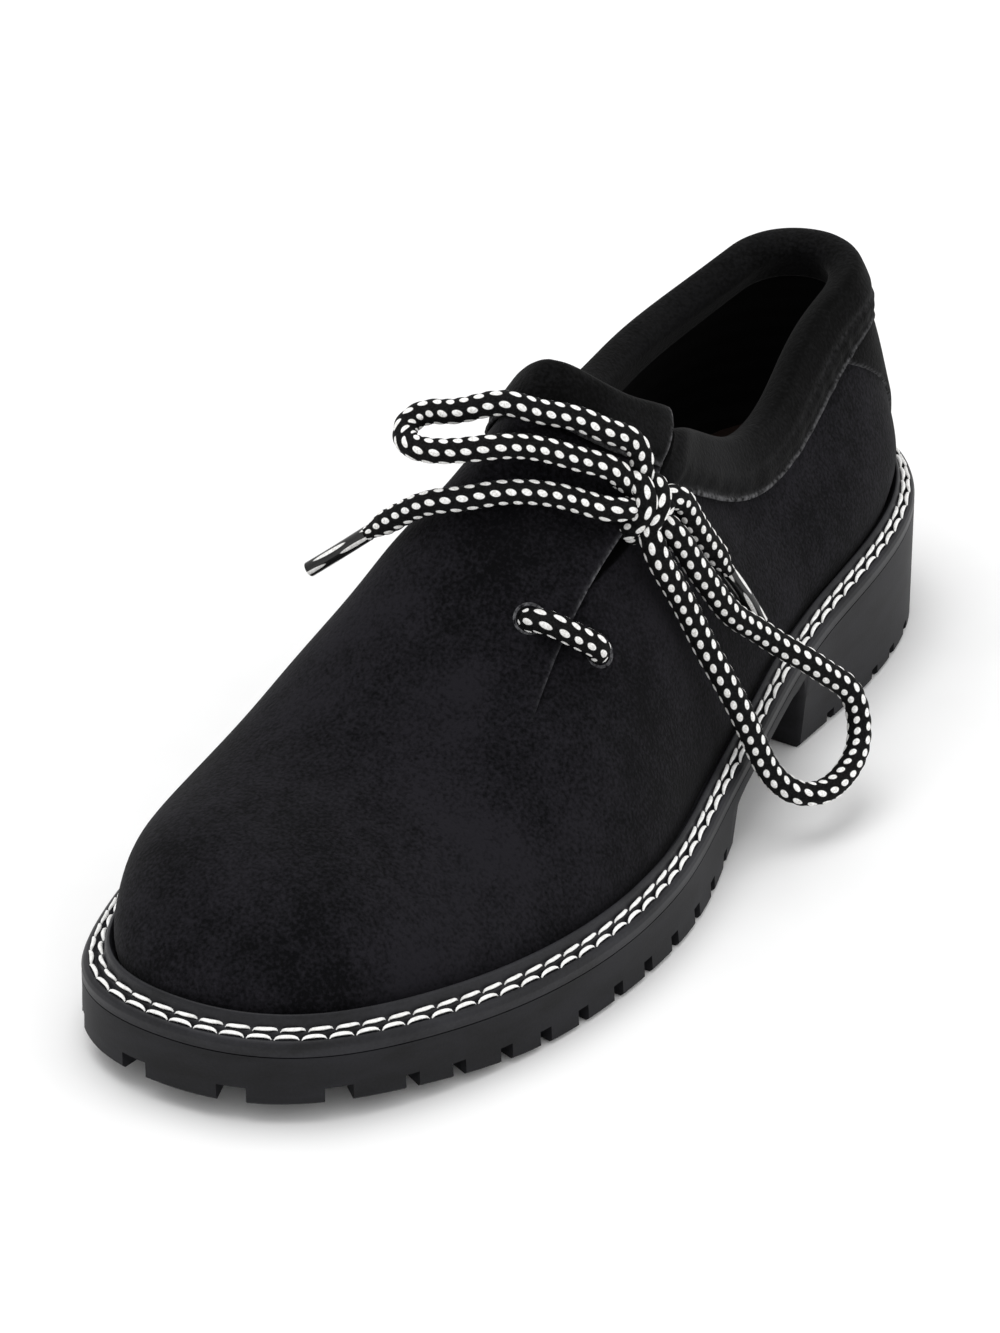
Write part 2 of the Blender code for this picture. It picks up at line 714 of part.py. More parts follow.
def shell_patch(name, outer, inner, material):
    """Closed sheet between two grids of the same size."""
    rows, columns = outer.shape[:2]
    points = np.concatenate([outer.reshape(-1, 3), inner.reshape(-1, 3)])
    back = rows * columns
    faces = []
    for i in range(rows - 1):
        for j in range(columns - 1):
            a = i * columns + j
            quad = (a, a + 1, a + columns + 1, a + columns)
            faces += [quad, tuple(back + index for index in quad)]
    border = list(range(columns)) + [i * columns + columns - 1 for i in range(1, rows)]
    border += [(rows - 1) * columns + j for j in reversed(range(columns - 1))]
    border += [i * columns for i in reversed(range(1, rows - 1))]
    for a, b in zip(border, border[1:] + border[:1]):
        faces.append((a, b, back + b, back + a))
    return mesh_object(name, points, faces, material)


def lip_lean(shares):
    """How far the upper's wall leans out over its foot at the height of the welt's lip."""
    part = ease((shares - 0.3) / 0.6)
    swell = HEEL_BULGE + (TOE_BULGE - HEEL_BULGE) * part
    height = (HEEL_LIP + (TOE_LIP - HEEL_LIP) * part) / BULGE_HEIGHT
    return swell * height * np.exp(1 - height)


def build_welt():
    """The welt: a strip under the upper's foot that rises to a lip against the upper."""
    shares = fine_shares(42)
    foot = feather_inset(shares)
    none = foot * 0
    tall = HEEL_LIP + (TOE_LIP - HEEL_LIP) * ease((shares - 0.45) / 0.45)
    back = foot - lip_lean(shares) - GAP * 1.5
    section = [(none, none - WELT_THICKNESS)]
    section += [(none + row.inset, none - row.drop) for row in WELT_EDGE]
    section += [
        (none + STITCH_INSET, none),
        (none + STITCH_INSET + STITCH_CHANNEL, none + LIP_RISE),
        (back - LIP_WIDTH, tall - LIP_CHAMFER),
        (back - LIP_WIDTH * 0.5, tall),
        (back, tall - LIP_CHAMFER),
        (foot - GAP, none),
        (foot + WALL + WELT_UNDERLAP, none),
        (foot + WALL + WELT_UNDERLAP, none - WELT_THICKNESS),
    ]
    rings = []
    for inset, lift in section:
        plan_points = outline(shares, inset)
        lift = np.concatenate([lift, lift[-2:0:-1]])
        rings.append(ring(plan_points, welt_top(plan_points[:, 1]) + lift))
    return loop_solid("welt", rings, surface("black welt rubber", (0.03, 0.03, 0.033), 0.45))


def build_insole():
    """The insole: a plate inside the upper's foot, lying on the welt and the sole."""
    shares = fine_shares(28)
    edge = feather_inset(shares) + WALL + INSOLE_CLEAR
    rings = []
    for inset, lift in ((edge + INSOLE_CHAMFER, INSOLE_THICKNESS),
                        (edge, INSOLE_THICKNESS - INSOLE_CHAMFER), (edge, 0.0)):
        plan_points = outline(shares, inset)
        rings.append(ring(plan_points, welt_top(plan_points[:, 1]) + GAP + lift))
    return plate_solid("insole", rings, surface("brown insole leather", (0.09, 0.045, 0.03), 0.7))


def lower_edge(y):
    """How far the sole's lower edge draws in."""
    return SHANK_HEIGHT * read(TOP, "tuck", share_of(y))


def box_points(centre, ahead, length, width, low, high):
    """Corners of an upright box: length along ahead, from low to high."""
    side = np.array([-ahead[1], ahead[0]])
    corners = []
    for z in (low, high):
        for a, b in ((-1, -1), (1, -1), (1, 1), (-1, 1)):
            spot = centre + ahead * length * a / 2 + side * width * b / 2
            corners.append((spot[0], spot[1], z))
    return corners


def boxes_object(name, boxes):
    """One cutter from many boxes that don't touch."""
    quads = ((0, 3, 2, 1), (4, 5, 6, 7), (0, 1, 5, 4), (1, 2, 6, 5), (2, 3, 7, 6), (3, 0, 4, 7))
    points = [corner for box in boxes for corner in box]
    faces = [tuple(8 * i + k for k in quad) for i in range(len(boxes)) for quad in quads]
    return mesh_object(name, points, faces, None)


def edge_points(start, stop, pitch):
    """Places and inward directions along the sole's edge, evenly from start to stop and back.

    start and stop are shares of the length; where stop is 1 the row runs on round the toe.
    """
    shares = fine_shares(400)
    loop = outline(shares, 0.0)
    across = np.roll(loop, -1, 0) - np.roll(loop, 1, 0)
    across /= np.linalg.norm(across, axis=1)[:, None]
    inward = np.stack([-across[:, 1], across[:, 0]], 1)
    share = share_of(loop[:, 1])
    length = np.concatenate([[0], np.cumsum(np.linalg.norm(np.diff(loop, axis=0), axis=1))])
    inside = (share >= start) & (share <= stop)
    runs = np.split(np.flatnonzero(inside), np.flatnonzero(np.diff(np.flatnonzero(inside)) > 1) + 1)
    places = []
    for run in runs:
        span = length[run[-1]] - length[run[0]]
        count = max(2, round(span / pitch))
        for step in range(count):
            at = length[run[0]] + span * (step + 0.5) / count
            k = int(np.searchsorted(length, at))
            places.append((loop[k], inward[k]))
    return places


def build_outsole():
    """The rubber unit: heel block, arched shank and forefoot, with its lugs cut from below."""
    steps = [row.along for row in TREAD[2:-1]]
    shares = fine_shares(32, steps)
    inside = feather_inset(shares) + WALL + WELT_UNDERLAP + GAP
    seat = -WELT_THICKNESS - GAP
    plan_inside = outline(shares, inside)
    plan_edge = outline(shares, 0.0)
    tuck = lower_edge((shares - 0.5) * SOLE_LENGTH)
    plan_low = outline(shares, tuck)
    plan_base = outline(shares, tuck + TREAD_CHAMFER)
    rings = [
        ring(plan_inside, welt_top(plan_inside[:, 1])),
        ring(plan_inside, welt_top(plan_inside[:, 1]) + seat),
        ring(plan_edge, welt_top(plan_edge[:, 1]) + seat),
        ring(plan_edge, welt_top(plan_edge[:, 1]) + seat - SIDE_FACE),
        ring(plan_low, tread_line(plan_edge[:, 1]) + TREAD_CHAMFER),
        ring(plan_base, tread_line(plan_edge[:, 1])),
    ]
    sole = plate_solid("outsole", rings, surface("black rubber", (0.02, 0.02, 0.022), 0.6))
    cut(sole, tread_notches())
    cut(sole, long_grooves())
    cut(sole, cross_grooves())
    return sole


def tread_notches():
    """Short slots in from the edge, between the lugs of the forefoot and the heel."""
    boxes = []
    for start, stop, depth, reach in NOTCHES:
        for spot, inward in edge_points(start, stop, LUG_PITCH):
            centre = spot + inward * (reach / 2 - CUTTER_MARGIN)
            top = float(tread_line(spot[1] + inward[1] * reach / 2)) + depth
            boxes.append(box_points(centre, inward, reach + 2 * CUTTER_MARGIN, NOTCH_WIDTH,
                                    top - CUTTER_HEIGHT, top))
    return boxes_object("notch_cutter", boxes)


def long_grooves():
    """Grooves that run beside the edge and part the edge lugs from the middle of the tread."""
    grooves = []
    faces = []
    for start, stop, depth, reach in LONG_GROOVES:
        shares = fine_shares(60)
        loops = [outline(shares, reach), outline(shares, reach + GROOVE_WIDTH)]
        share = share_of(loops[0][:, 1])
        keep = np.flatnonzero((share >= start) & (share <= stop))
        gap = np.flatnonzero(np.diff(keep) > 1)
        if len(gap):
            keep = np.concatenate([keep[gap[0] + 1:], keep[:gap[0] + 1]])
        base = len(grooves)
        for k in keep:
            for loop, down in ((0, True), (0, False), (1, False), (1, True)):
                x, y = loops[loop][k]
                top = float(tread_line(loops[0][k, 1])) + depth
                grooves.append((x, y, top - CUTTER_HEIGHT if down else top))
        count = len(keep)
        for i in range(count - 1):
            for j in range(4):
                a, b = base + 4 * i + j, base + 4 * i + (j + 1) % 4
                faces.append((a, b, b + 4, a + 4))
        faces += [tuple(base + j for j in range(4)), tuple(base + 4 * count - 4 + j for j in range(4))]
    return mesh_object("groove_cutter", grooves, faces, None)


def cross_grooves():
    """Straight grooves over the middle of the tread, from one long groove to the other."""
    boxes = []
    for start, stop, depth, reach in CROSS_GROOVES:
        span = (stop - start) * SOLE_LENGTH
        count = round(span / CROSS_PITCH)
        for i in range(count + 1):
            y = (start + (stop - start) * i / count - 0.5) * SOLE_LENGTH
            width = 2 * (float(half_width(y, reach)) + GROOVE_WIDTH / 2)
            top = float(tread_line(y)) + depth
            centre = np.array([float(centre_line(y)), y])
            boxes.append(box_points(centre, np.array([1.0, 0.0]), width, GROOVE_WIDTH,
                                    top - CUTTER_HEIGHT, top))
    return boxes_object("cross_cutter", boxes)


def smooth_way(points):
    """Even points along a smooth curve through the given ones, two lace diameters apart or less."""
    points = np.asarray(points, float)
    chord = np.concatenate([[0], np.cumsum(np.linalg.norm(np.diff(points, axis=0), axis=1))])
    fine = np.linspace(0, chord[-1], 400)
    curve = np.stack([spline(chord, points[:, axis], fine) for axis in range(3)], 1)
    length = np.concatenate([[0], np.cumsum(np.linalg.norm(np.diff(curve, axis=0), axis=1))])
    at = np.linspace(0, length[-1], max(3, math.ceil(length[-1] / (LACE_DIAMETER * 0.8))))
    return np.stack([np.interp(at, length, curve[:, axis]) for axis in range(3)], 1)


def way_of(stops):
    """World points of a table of stops."""
    return [(BALL_WIDTH * stop.out, SOLE_LENGTH * (stop.along - 0.5), INSTEP_HEIGHT * stop.up)
            for stop in stops]


def cord_object(name, points, diameter, material):
    """A round cord along a way, as a curve with closed ends."""
    data = bpy.data.curves.new(name, "CURVE")
    data.dimensions = "3D"
    data.bevel_depth = diameter / 2
    data.bevel_resolution = 2
    data.use_fill_caps = True
    line = data.splines.new("POLY")
    line.points.add(len(points) - 1)
    for place, point in zip(line.points, points):
        place.co = (*point, 1)
    data.materials.append(material)
    thing = bpy.data.objects.new(name, data)
    bpy.context.scene.collection.objects.link(thing)
    return thing


def build_lace_bar():
    """The lace's crossing, from the hole in the flap over the flap's edge to the quarter's."""
    start = bearing_at(FLAP_HOLE.rise, FLAP_HOLE.along)
    stop = bearing_at(QUARTER_HOLE.rise, QUARTER_HOLE.along)
    part = np.linspace(0, 1, 7)
    clear = FLAP_STEP * 0.7 * (1 - 0.9 * ease((part - 0.6) / 0.4))
    way = skin(start + (stop - start) * part,
               FLAP_HOLE.rise + (QUARTER_HOLE.rise - FLAP_HOLE.rise) * part,
               LACE_DIAMETER / 2 + GAP + clear)
    cord_object("lace_bar", way, LACE_DIAMETER, surface("bar lace", (0.02, 0.02, 0.02), 0.8))


def build_knot():
    """The bow's knot: a rounded lump that stands on the flap and the quarter along the slit."""
    bearing = np.array([bearing_at(KNOT.rise, KNOT.along)])
    rise = np.array([KNOT.rise])
    foot = skin(bearing, rise, np.array([FLAP_STEP + GAP]))[0]
    out = grid_read(NORMAL, bearing, rise)[0]
    out = out / np.linalg.norm(out)
    down = skin(bearing, rise - 0.05, np.zeros(1))[0] - skin(bearing, rise + 0.05, np.zeros(1))[0]
    down = down - out * np.dot(down, out)
    down /= np.linalg.norm(down)
    side = np.cross(out, down)
    centre = foot + out * KNOT_HEIGHT / 2
    rings = []
    for angle in np.linspace(0, math.pi, 9):
        girth = np.sin(max(angle, 0.05)) if angle < 3 else np.sin(math.pi - 0.05)
        around = np.arange(14) / 14 * 2 * math.pi
        rings.append(centre - down * math.cos(angle) * KNOT_LENGTH / 2
                     + np.outer(np.cos(around), side) * girth * KNOT_WIDTH / 2
                     + np.outer(np.sin(around), out) * girth * KNOT_HEIGHT / 2)
    count = len(rings[0])
    faces = tube_faces(len(rings), count, False)
    faces += [tuple(range(count)), tuple(range(count * 8, count * 9))]
    mesh_object("lace_knot", np.concatenate(rings), faces,
                surface("knot lace", (0.02, 0.02, 0.02), 0.8))


def build_bow():
    """The bow: two loops, two ends and their clear tips."""
    black = (0.02, 0.02, 0.02)
    clear = (0.5, 0.5, 0.5)
    for name, stops in (("lace_loop_inner", LOOP_INNER), ("lace_loop_outer", LOOP_OUTER),
                        ("lace_end_inner", END_INNER), ("lace_end_outer", END_OUTER)):
        cord_object(name, smooth_way(way_of(stops)), LACE_DIAMETER, surface(name, black, 0.8))
    for name, stops in (("aglet_inner", AGLET_INNER), ("aglet_outer", AGLET_OUTER)):
        cord_object(name, smooth_way(way_of(stops)), AGLET_DIAMETER, surface(name, clear, 0.3))


def clear_scene():
    for thing in list(bpy.data.objects):
        bpy.data.objects.remove(thing, do_unlink=True)


def main():
    clear_scene()
    build_outsole()
    build_welt()
    build_insole()
    build_upper()
    build_collar_band()
    build_heel_counter()
    build_lace_bar()
    build_knot()
    build_bow()


main()
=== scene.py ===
# %% [markdown]
# A side-laced suede shoe
# The CAD model gives the shoe's solids. This notebook works out the same last, the foot-shaped form
# that a shoemaker pulls the leather over, on a finer grid, and dresses it: napped suede, a rolled
# collar, a storm welt with two rows of stitches, a moulded sole and a tied lace.

import math
from collections import namedtuple

import bmesh
import bpy
import numpy as np
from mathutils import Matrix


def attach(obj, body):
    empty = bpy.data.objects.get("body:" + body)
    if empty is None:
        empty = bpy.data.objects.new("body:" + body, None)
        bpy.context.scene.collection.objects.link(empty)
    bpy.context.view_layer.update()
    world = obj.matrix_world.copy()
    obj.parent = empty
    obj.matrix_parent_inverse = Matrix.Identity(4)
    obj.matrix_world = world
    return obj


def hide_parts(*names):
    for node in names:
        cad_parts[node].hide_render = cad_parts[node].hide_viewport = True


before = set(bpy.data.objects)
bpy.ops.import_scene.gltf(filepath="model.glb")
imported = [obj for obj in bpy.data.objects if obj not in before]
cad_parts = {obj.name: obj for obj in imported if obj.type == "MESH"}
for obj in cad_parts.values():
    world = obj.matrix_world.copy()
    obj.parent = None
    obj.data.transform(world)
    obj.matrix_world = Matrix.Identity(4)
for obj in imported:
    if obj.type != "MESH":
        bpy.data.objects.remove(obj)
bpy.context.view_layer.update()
MM = 0.001

# %% [markdown]
# The camera stands where the photographer stood: above the toe, on the shoe's outer side, looking
# down by some thirty degrees. The long lens keeps the flat, catalogue-like perspective.

# %% The camera
EYE = np.array([-0.6057, 1.0192, 0.7432])
AIM = np.array([0.0091, 0.0076, 0.0402])
LENS, SENSOR = 158.0, 36.0


def add_object(name, data):
    """An object that shows the given data, linked into the scene."""
    thing = bpy.data.objects.new(name, data)
    bpy.context.scene.collection.objects.link(thing)
    return thing


def look(thing, eye, aim):
    """Stands a camera or lamp at eye and turns its -Z axis to aim, with its X axis level."""
    back = (eye - aim) / np.linalg.norm(eye - aim)
    right = np.cross([0.0, 0.0, 1.0], back)
    right /= np.linalg.norm(right)
    turn = np.eye(4)
    turn[:3, :3] = np.stack([right, np.cross(back, right), back], 1)
    turn[:3, 3] = eye
    thing.matrix_world = turn.T


camera_data = bpy.data.cameras.new("camera")
camera_data.sensor_fit = "VERTICAL"
camera_data.sensor_height = SENSOR
camera_data.lens = LENS
camera = add_object("camera", camera_data)
bpy.context.scene.camera = camera
look(camera, EYE, AIM)
drop = math.degrees(math.atan2(EYE[2] - AIM[2], np.hypot(*(EYE - AIM)[:2])))
print("camera looks down by", round(drop, 1))

# %% [markdown]
# A catalogue picture has no corners in its background. One wide white floor, a bright even world, a
# large soft lamp above the shoe and a weaker one on its outer side give its pale field and faint
# shadow.

# %% Floor and light
FLOOR_HALF, FLOOR_DROP = 6.0, 0.2 * MM
WORLD_STRENGTH = 0.82


def hex_colour(code):
    """Turns an sRGB hex code to linear light, as the shaders count it."""
    parts = np.array([int(code[i:i + 2], 16) for i in (1, 3, 5)]) / 255
    linear = np.where(parts <= 0.04045, parts / 12.92, ((parts + 0.055) / 1.055) ** 2.4)
    return (*linear.tolist(), 1.0)


def lamp(name, eye, aim, side, watts):
    """A square soft lamp."""
    data = bpy.data.lights.new(name, "AREA")
    data.size = side
    data.energy = watts
    look(add_object(name, data), np.array(eye), np.array(aim))


world = bpy.data.worlds.new("studio")
world.use_nodes = True
sky = world.node_tree.nodes["Background"].inputs
sky["Color"].default_value = hex_colour("#ffffff")
sky["Strength"].default_value = WORLD_STRENGTH
bpy.context.scene.world = world
bpy.context.scene.view_settings.view_transform = "Standard"
lamp("soft box", (0.30, 0.10, 1.6), (0.0, 0.0, 0.0), side=1.3, watts=12.0)
lamp("side box", (-1.3, -0.35, 0.7), (0.0, 0.0, 0.05), side=1.0, watts=3.0)

floor_mesh = bpy.data.meshes.new("floor")
corners = [(x * FLOOR_HALF, y * FLOOR_HALF, -FLOOR_DROP)
           for x, y in ((-1, -1), (1, -1), (1, 1), (-1, 1))]
floor_mesh.from_pydata(corners, [], [(0, 1, 2, 3)])
floor = add_object("floor", floor_mesh)
print("floor is", 2 * FLOOR_HALF, "m wide")

# %% [markdown]
# Every material below is a small graph of shader nodes. One helper adds a node, sets its inputs and
# links it, so that each material reads as a list of what it does. All patterns lie in the object's
# own space, so they stay on the shoe wherever it goes.


# %% Helpers for materials
def node(tree, kind, inputs=None, out=0, stops=(), **settings):
    """Adds a shader node and gives back its output out.

    inputs maps a socket to a value or to another socket, stops a ramp's places to its colours.
    """
    made = tree.nodes.new("ShaderNode" + kind)
    for name, value in settings.items():
        setattr(made, name, value)
    for name, value in (inputs or {}).items():
        socket = made.inputs[name]
        if isinstance(value, bpy.types.NodeSocket):
            tree.links.new(value, socket)
        else:
            socket.default_value = value
    if stops:
        marks = made.color_ramp.elements
        marks[0].position, marks[1].position = stops[0][0], stops[-1][0]
        for place, code in stops[1:-1]:
            marks.new(place)
        for mark, (place, code) in zip(marks, stops):
            mark.color = hex_colour(code)
    return made.outputs[out]


def new_material(name, **values):
    """A new material with the given shader values, its node tree and its place in object space."""
    material = bpy.data.materials.new(name)
    material.use_nodes = True
    tree = material.node_tree
    for socket, value in values.items():
        shader = tree.nodes["Principled BSDF"]
        shader.inputs[socket.replace("_", " ")].default_value = value
    return material, tree, node(tree, "TexCoord", out="Object")


def dress(material, colour, height=None, strength=0.0, depth=0.0):
    """Gives a material its base colour and, from a height, bumps of some depth."""
    tree = material.node_tree
    shader = tree.nodes["Principled BSDF"]
    tree.links.new(colour, shader.inputs["Base Color"])
    if height is not None:
        bump = node(tree, "Bump", {"Height": height, "Strength": strength, "Distance": depth})
        tree.links.new(bump, shader.inputs["Normal"])


def per_mm(size):
    """Noise scale whose marks are about size millimetres across."""
    return 1.0 / (size * MM)


paper, tree, place = new_material("white paper sweep", Roughness=0.9)
grain = node(tree, "TexNoise", {"Vector": place, "Scale": per_mm(40.0)})
dress(paper, node(tree, "ValToRGB", {"Fac": grain}, stops=[(0.3, "#f6f6f6"), (0.7, "#fafafa")]))
floor_mesh.materials.append(paper)
print("material:", paper.name)

# %% [markdown]
# Suede is the flesh side of a hide, split and buffed to a short nap. The nap lies one way or
# another in patches as large as a thumb, so a black suede is never one black: it drifts between
# charcoal and soot, and it is lighter where an edge is cut or rubbed. It has no gloss, only a faint
# velvet sheen.


# %% Suede
RIM_RADIUS, RIM_HALF = 3.5 * MM, 0.35 * MM


def suede(name, dark, light, edge, rims=()):
    """Napped suede: patches of turned nap and fine fibres, paler at a rim and where worn is 1.

    It is painted black where its shadow attribute is 1, a painted shadow under an overlapping edge.
    A rim is a thin ring of RIM_RADIUS round a lace hole, where the cord has rubbed the nap away.
    """
    material, tree, place = new_material(
        name, Roughness=0.95, Sheen_Weight=0.05, Sheen_Roughness=0.5, Specular_IOR_Level=0.03)
    patch = node(tree, "TexNoise",
                 {"Vector": place, "Scale": per_mm(42.0), "Detail": 1.0, "Distortion": 0.5})
    smudge = node(tree, "TexNoise", {"Vector": place, "Scale": per_mm(6.0), "Detail": 4.0})
    fibre = node(tree, "TexNoise", {"Vector": place, "Scale": per_mm(0.9), "Detail": 3.0})
    mix = 0.0
    for layer, share in ((patch, 0.38), (smudge, 0.18), (fibre, 0.44)):
        mix = node(tree, "Math", {0: layer, 1: share, 2: mix}, operation="MULTIPLY_ADD")
    nap = node(tree, "ValToRGB", {"Fac": mix}, stops=[(0.42, dark), (0.59, light)])
    worn = node(tree, "Attribute", out="Fac", attribute_name="worn")
    for rim in rims:
        gap = node(tree, "VectorMath", {0: place, 1: tuple(rim)}, "Value", operation="DISTANCE")
        ring = node(tree, "Math", {0: gap, 1: RIM_RADIUS, 2: RIM_HALF}, operation="COMPARE")
        worn = node(tree, "Math", {0: worn, 1: ring}, operation="MAXIMUM")
    broken = node(tree, "TexNoise", {"Vector": place, "Scale": per_mm(1.1), "Detail": 2.0})
    rub = node(tree, "Math", {0: broken, 1: 2.6, 2: -0.80}, operation="MULTIPLY_ADD",
               use_clamp=True)
    rub = node(tree, "Math", {0: rub, 1: worn}, operation="MULTIPLY", use_clamp=True)
    # Painted shadow: a vertex attribute mixes the colour to black under the flap's edge.
    painted_shadow = node(tree, "Attribute", out="Fac", attribute_name="painted_shadow")
    colour = nap
    for part, code in ((rub, edge), (painted_shadow, "#000000")):
        colour = node(tree, "Mix", {"Factor": part, 6: colour, 7: hex_colour(code)}, 2,
                      data_type="RGBA")
    height = node(tree, "Math", {0: smudge, 1: 0.9, 2: fibre}, operation="MULTIPLY_ADD")
    dress(material, colour, height, 0.7, 0.3 * MM)
    return material


collar_suede = suede("black collar suede", "#050505", "#121213", "#646466")
print("suede for the collar:", collar_suede.name)

# %% [markdown]
# The sole is one moulding of black rubber. It comes from the mould with a dull skin, a little dusty
# and greyer where it is scuffed. The welt is the same rubber, polished by the roller that bends it.


# %% Rubber
def rubber(name, dark, light, roughness, speck):
    """Moulded rubber: a dull skin with long faint streaks and fine grit."""
    material, tree, place = new_material(name, Roughness=roughness, Specular_IOR_Level=0.2,
                                         IOR=1.52)
    flat = node(tree, "Mapping", {"Vector": place, "Scale": (1.0, 1.0, 3.5)})
    streak = node(tree, "TexNoise",
                  {"Vector": flat, "Scale": per_mm(18.0), "Detail": 5.0, "Distortion": 0.4})
    grit = node(tree, "TexNoise", {"Vector": place, "Scale": per_mm(speck), "Detail": 2.0})
    blend = node(tree, "Math", {0: streak, 1: 0.72}, operation="MULTIPLY")
    blend = node(tree, "Math", {0: grit, 1: 0.28, 2: blend}, operation="MULTIPLY_ADD")
    colour = node(tree, "ValToRGB", {"Fac": blend}, stops=[(0.36, dark), (0.66, light)])
    dress(material, colour, grit, 0.35, 0.08 * MM)
    return material


sole_rubber = rubber("moulded sole rubber", "#0e0e10", "#1b1b1f", 0.6, 0.6)
welt_rubber = rubber("rolled welt rubber", "#151517", "#27272b", 0.45, 0.8)
print("rubbers:", sole_rubber.name, "and", welt_rubber.name)

# %% [markdown]
# The inside of the shoe: a thin smooth leather on the insole, a black textile in the quarters, and
# a checked brown-red cloth that shows just under the flap.

# %% Lining, insole and thread
CLOTH_START, CLOTH_END = -52.0 * MM, -46.0 * MM

lining_cloth, tree, place = new_material("woven lining", Roughness=0.9, Specular_IOR_Level=0.2)
along = node(tree, "SeparateXYZ", {"Vector": place}, "Y")
front = node(tree, "MapRange", {"Value": along, 1: CLOTH_START, 2: CLOTH_END})
threads, check = (
    node(tree, "TexWave", {"Vector": place, "Scale": per_mm(size) / 20, "Distortion": 0.0}, "Fac",
         bands_direction=axis)
    for size, axis in ((1.0, "Z"), (7.0, "Y")))
plaid = node(tree, "Math", {0: check, 1: threads}, operation="MULTIPLY")
red = node(tree, "ValToRGB", {"Fac": plaid},
           stops=[(0.1, "#210e0c"), (0.5, "#4a2019"), (0.9, "#302012")])
black = node(tree, "ValToRGB", {"Fac": threads}, stops=[(0.2, "#060606"), (0.8, "#0b0b0c")])
dress(lining_cloth, node(tree, "Mix", {"Factor": front, 6: black, 7: red}, 2, data_type="RGBA"))

insole_leather, tree, place = new_material("brown insole leather", Roughness=0.6)
pores = node(tree, "TexVoronoi", {"Vector": place, "Scale": per_mm(0.9)})
brown = node(tree, "ValToRGB", {"Fac": pores}, stops=[(0.1, "#170e0b"), (0.6, "#2a1a13")])
dress(insole_leather, brown, pores, 0.3, 0.1 * MM)

thread_white, tree, place = new_material("waxed white thread", Roughness=0.55,
                                         Specular_IOR_Level=0.3)
twist = node(tree, "TexNoise", {"Vector": place, "Scale": per_mm(0.8), "Detail": 2.0})
dress(thread_white,
      node(tree, "ValToRGB", {"Fac": twist}, stops=[(0.35, "#e4e3e0"), (0.6, "#fdfdfc")]))
print("materials:", lining_cloth.name, insole_leather.name, thread_white.name)

# %% [markdown]
# The lace is a round tubular braid of black yarn with white yarns that come to the surface as small
# ovals, in six staggered columns. Its pattern follows the cord, so it is drawn in the tube's own UV
# map: one unit across is a column, one unit along is the step from one oval to the next.

# %% Lace and its clear tips
LACE_COLUMNS = 6
OVAL_STEP = 3.5 * MM
OVAL_HALF = (0.25, 0.33)
OVAL_LEAN = 0.22


def braid(name, shine):
    """Black braid with white ovals, from a UV map whose units are one oval's cell.

    Every second column is half a cell further on. A point is white where
    (across / half width)^2 + (along / half length)^2 from its cell's middle is under 1.
    """
    material, tree, place = new_material(
        name, Roughness=0.8 - 0.4 * shine, Specular_IOR_Level=0.1, Coat_Weight=shine,
        Coat_Roughness=0.06)
    weave = node(tree, "UVMap", uv_map="weave")
    across, along = (node(tree, "SeparateXYZ", {"Vector": weave}, axis) for axis in "XY")
    column = node(tree, "Math", {0: across}, operation="FLOOR")
    odd = node(tree, "Math", {0: column, 1: 2.0}, operation="MODULO")
    down = node(tree, "Math", {0: odd, 1: 0.5, 2: along}, operation="MULTIPLY_ADD")
    lean = node(tree, "Math", {0: down}, operation="FRACT")
    lean = node(tree, "Math", {0: lean, 1: 0.5}, operation="SUBTRACT")
    aside = node(tree, "Math", {0: lean, 1: OVAL_LEAN, 2: across}, operation="MULTIPLY_ADD")
    away = 0.0
    for part, half in zip((aside, down), OVAL_HALF):
        part = node(tree, "Math", {0: part}, operation="FRACT")
        part = node(tree, "Math", {0: part, 1: 0.5}, operation="SUBTRACT")
        part = node(tree, "Math", {0: part, 1: 1.0 / half}, operation="MULTIPLY")
        away = node(tree, "Math", {0: part, 1: part, 2: away}, operation="MULTIPLY_ADD")
    yarn = node(tree, "MapRange", {"Value": away, 1: 0.85, 2: 1.15, 3: 1.0, 4: 0.0})
    fuzz = node(tree, "TexNoise", {"Vector": place, "Scale": per_mm(0.5), "Detail": 2.0})
    black = node(tree, "ValToRGB", {"Fac": fuzz}, stops=[(0.35, "#050505"), (0.65, "#161617")])
    white = node(tree, "ValToRGB", {"Fac": fuzz}, stops=[(0.35, "#dad8d4"), (0.6, "#fbfbfa")])
    colour = node(tree, "Mix", {"Factor": yarn, 6: black, 7: white}, 2, data_type="RGBA")
    dress(material, colour, fuzz, 0.4, 0.15 * MM)
    return material


lace_braid = braid("dotted braid", 0.0)
tip_film = braid("clear film over braid", 0.6)
print("lace columns:", LACE_COLUMNS, "step in mm:", OVAL_STEP / MM)

# %% [markdown]
# New pieces are grids of points. A grid is closed into a tube in one direction or both, its ends
# get a cap, and each vertex may carry a value, such as how worn the suede is there.


# %% From a grid to a mesh
def grid_faces(rows, columns, wrap_rows, wrap_columns):
    """Corner indices of every quad between neighbouring rows and columns of a grid."""
    i, j = np.meshgrid(np.arange(rows if wrap_rows else rows - 1),
                       np.arange(columns if wrap_columns else columns - 1), indexing="ij")
    k, m = (i + 1) % rows, (j + 1) % columns
    corners = [i * columns + j, i * columns + m, k * columns + m, k * columns + j]
    return np.stack([c.ravel() for c in corners], 1)


def ends_of(rows, columns):
    """Two many-sided caps over the first and last row of a tube."""
    return [tuple(range(columns)), tuple(range((rows - 1) * columns, rows * columns))]


def tube_faces(rows, columns):
    """Faces of a tube: the quads between its rings and a cap at each end."""
    return grid_faces(rows, columns, False, True).tolist() + ends_of(rows, columns)


def solid(name, points, faces):
    """A closed mesh whose faces are all turned out."""
    mesh = bpy.data.meshes.new(name)
    mesh.from_pydata(points.reshape(-1, 3).tolist(), [], [tuple(face) for face in faces])
    work = bmesh.new()
    work.from_mesh(mesh)
    bmesh.ops.recalc_face_normals(work, faces=work.faces)
    work.to_mesh(mesh)
    work.free()
    return add_object(name, mesh)


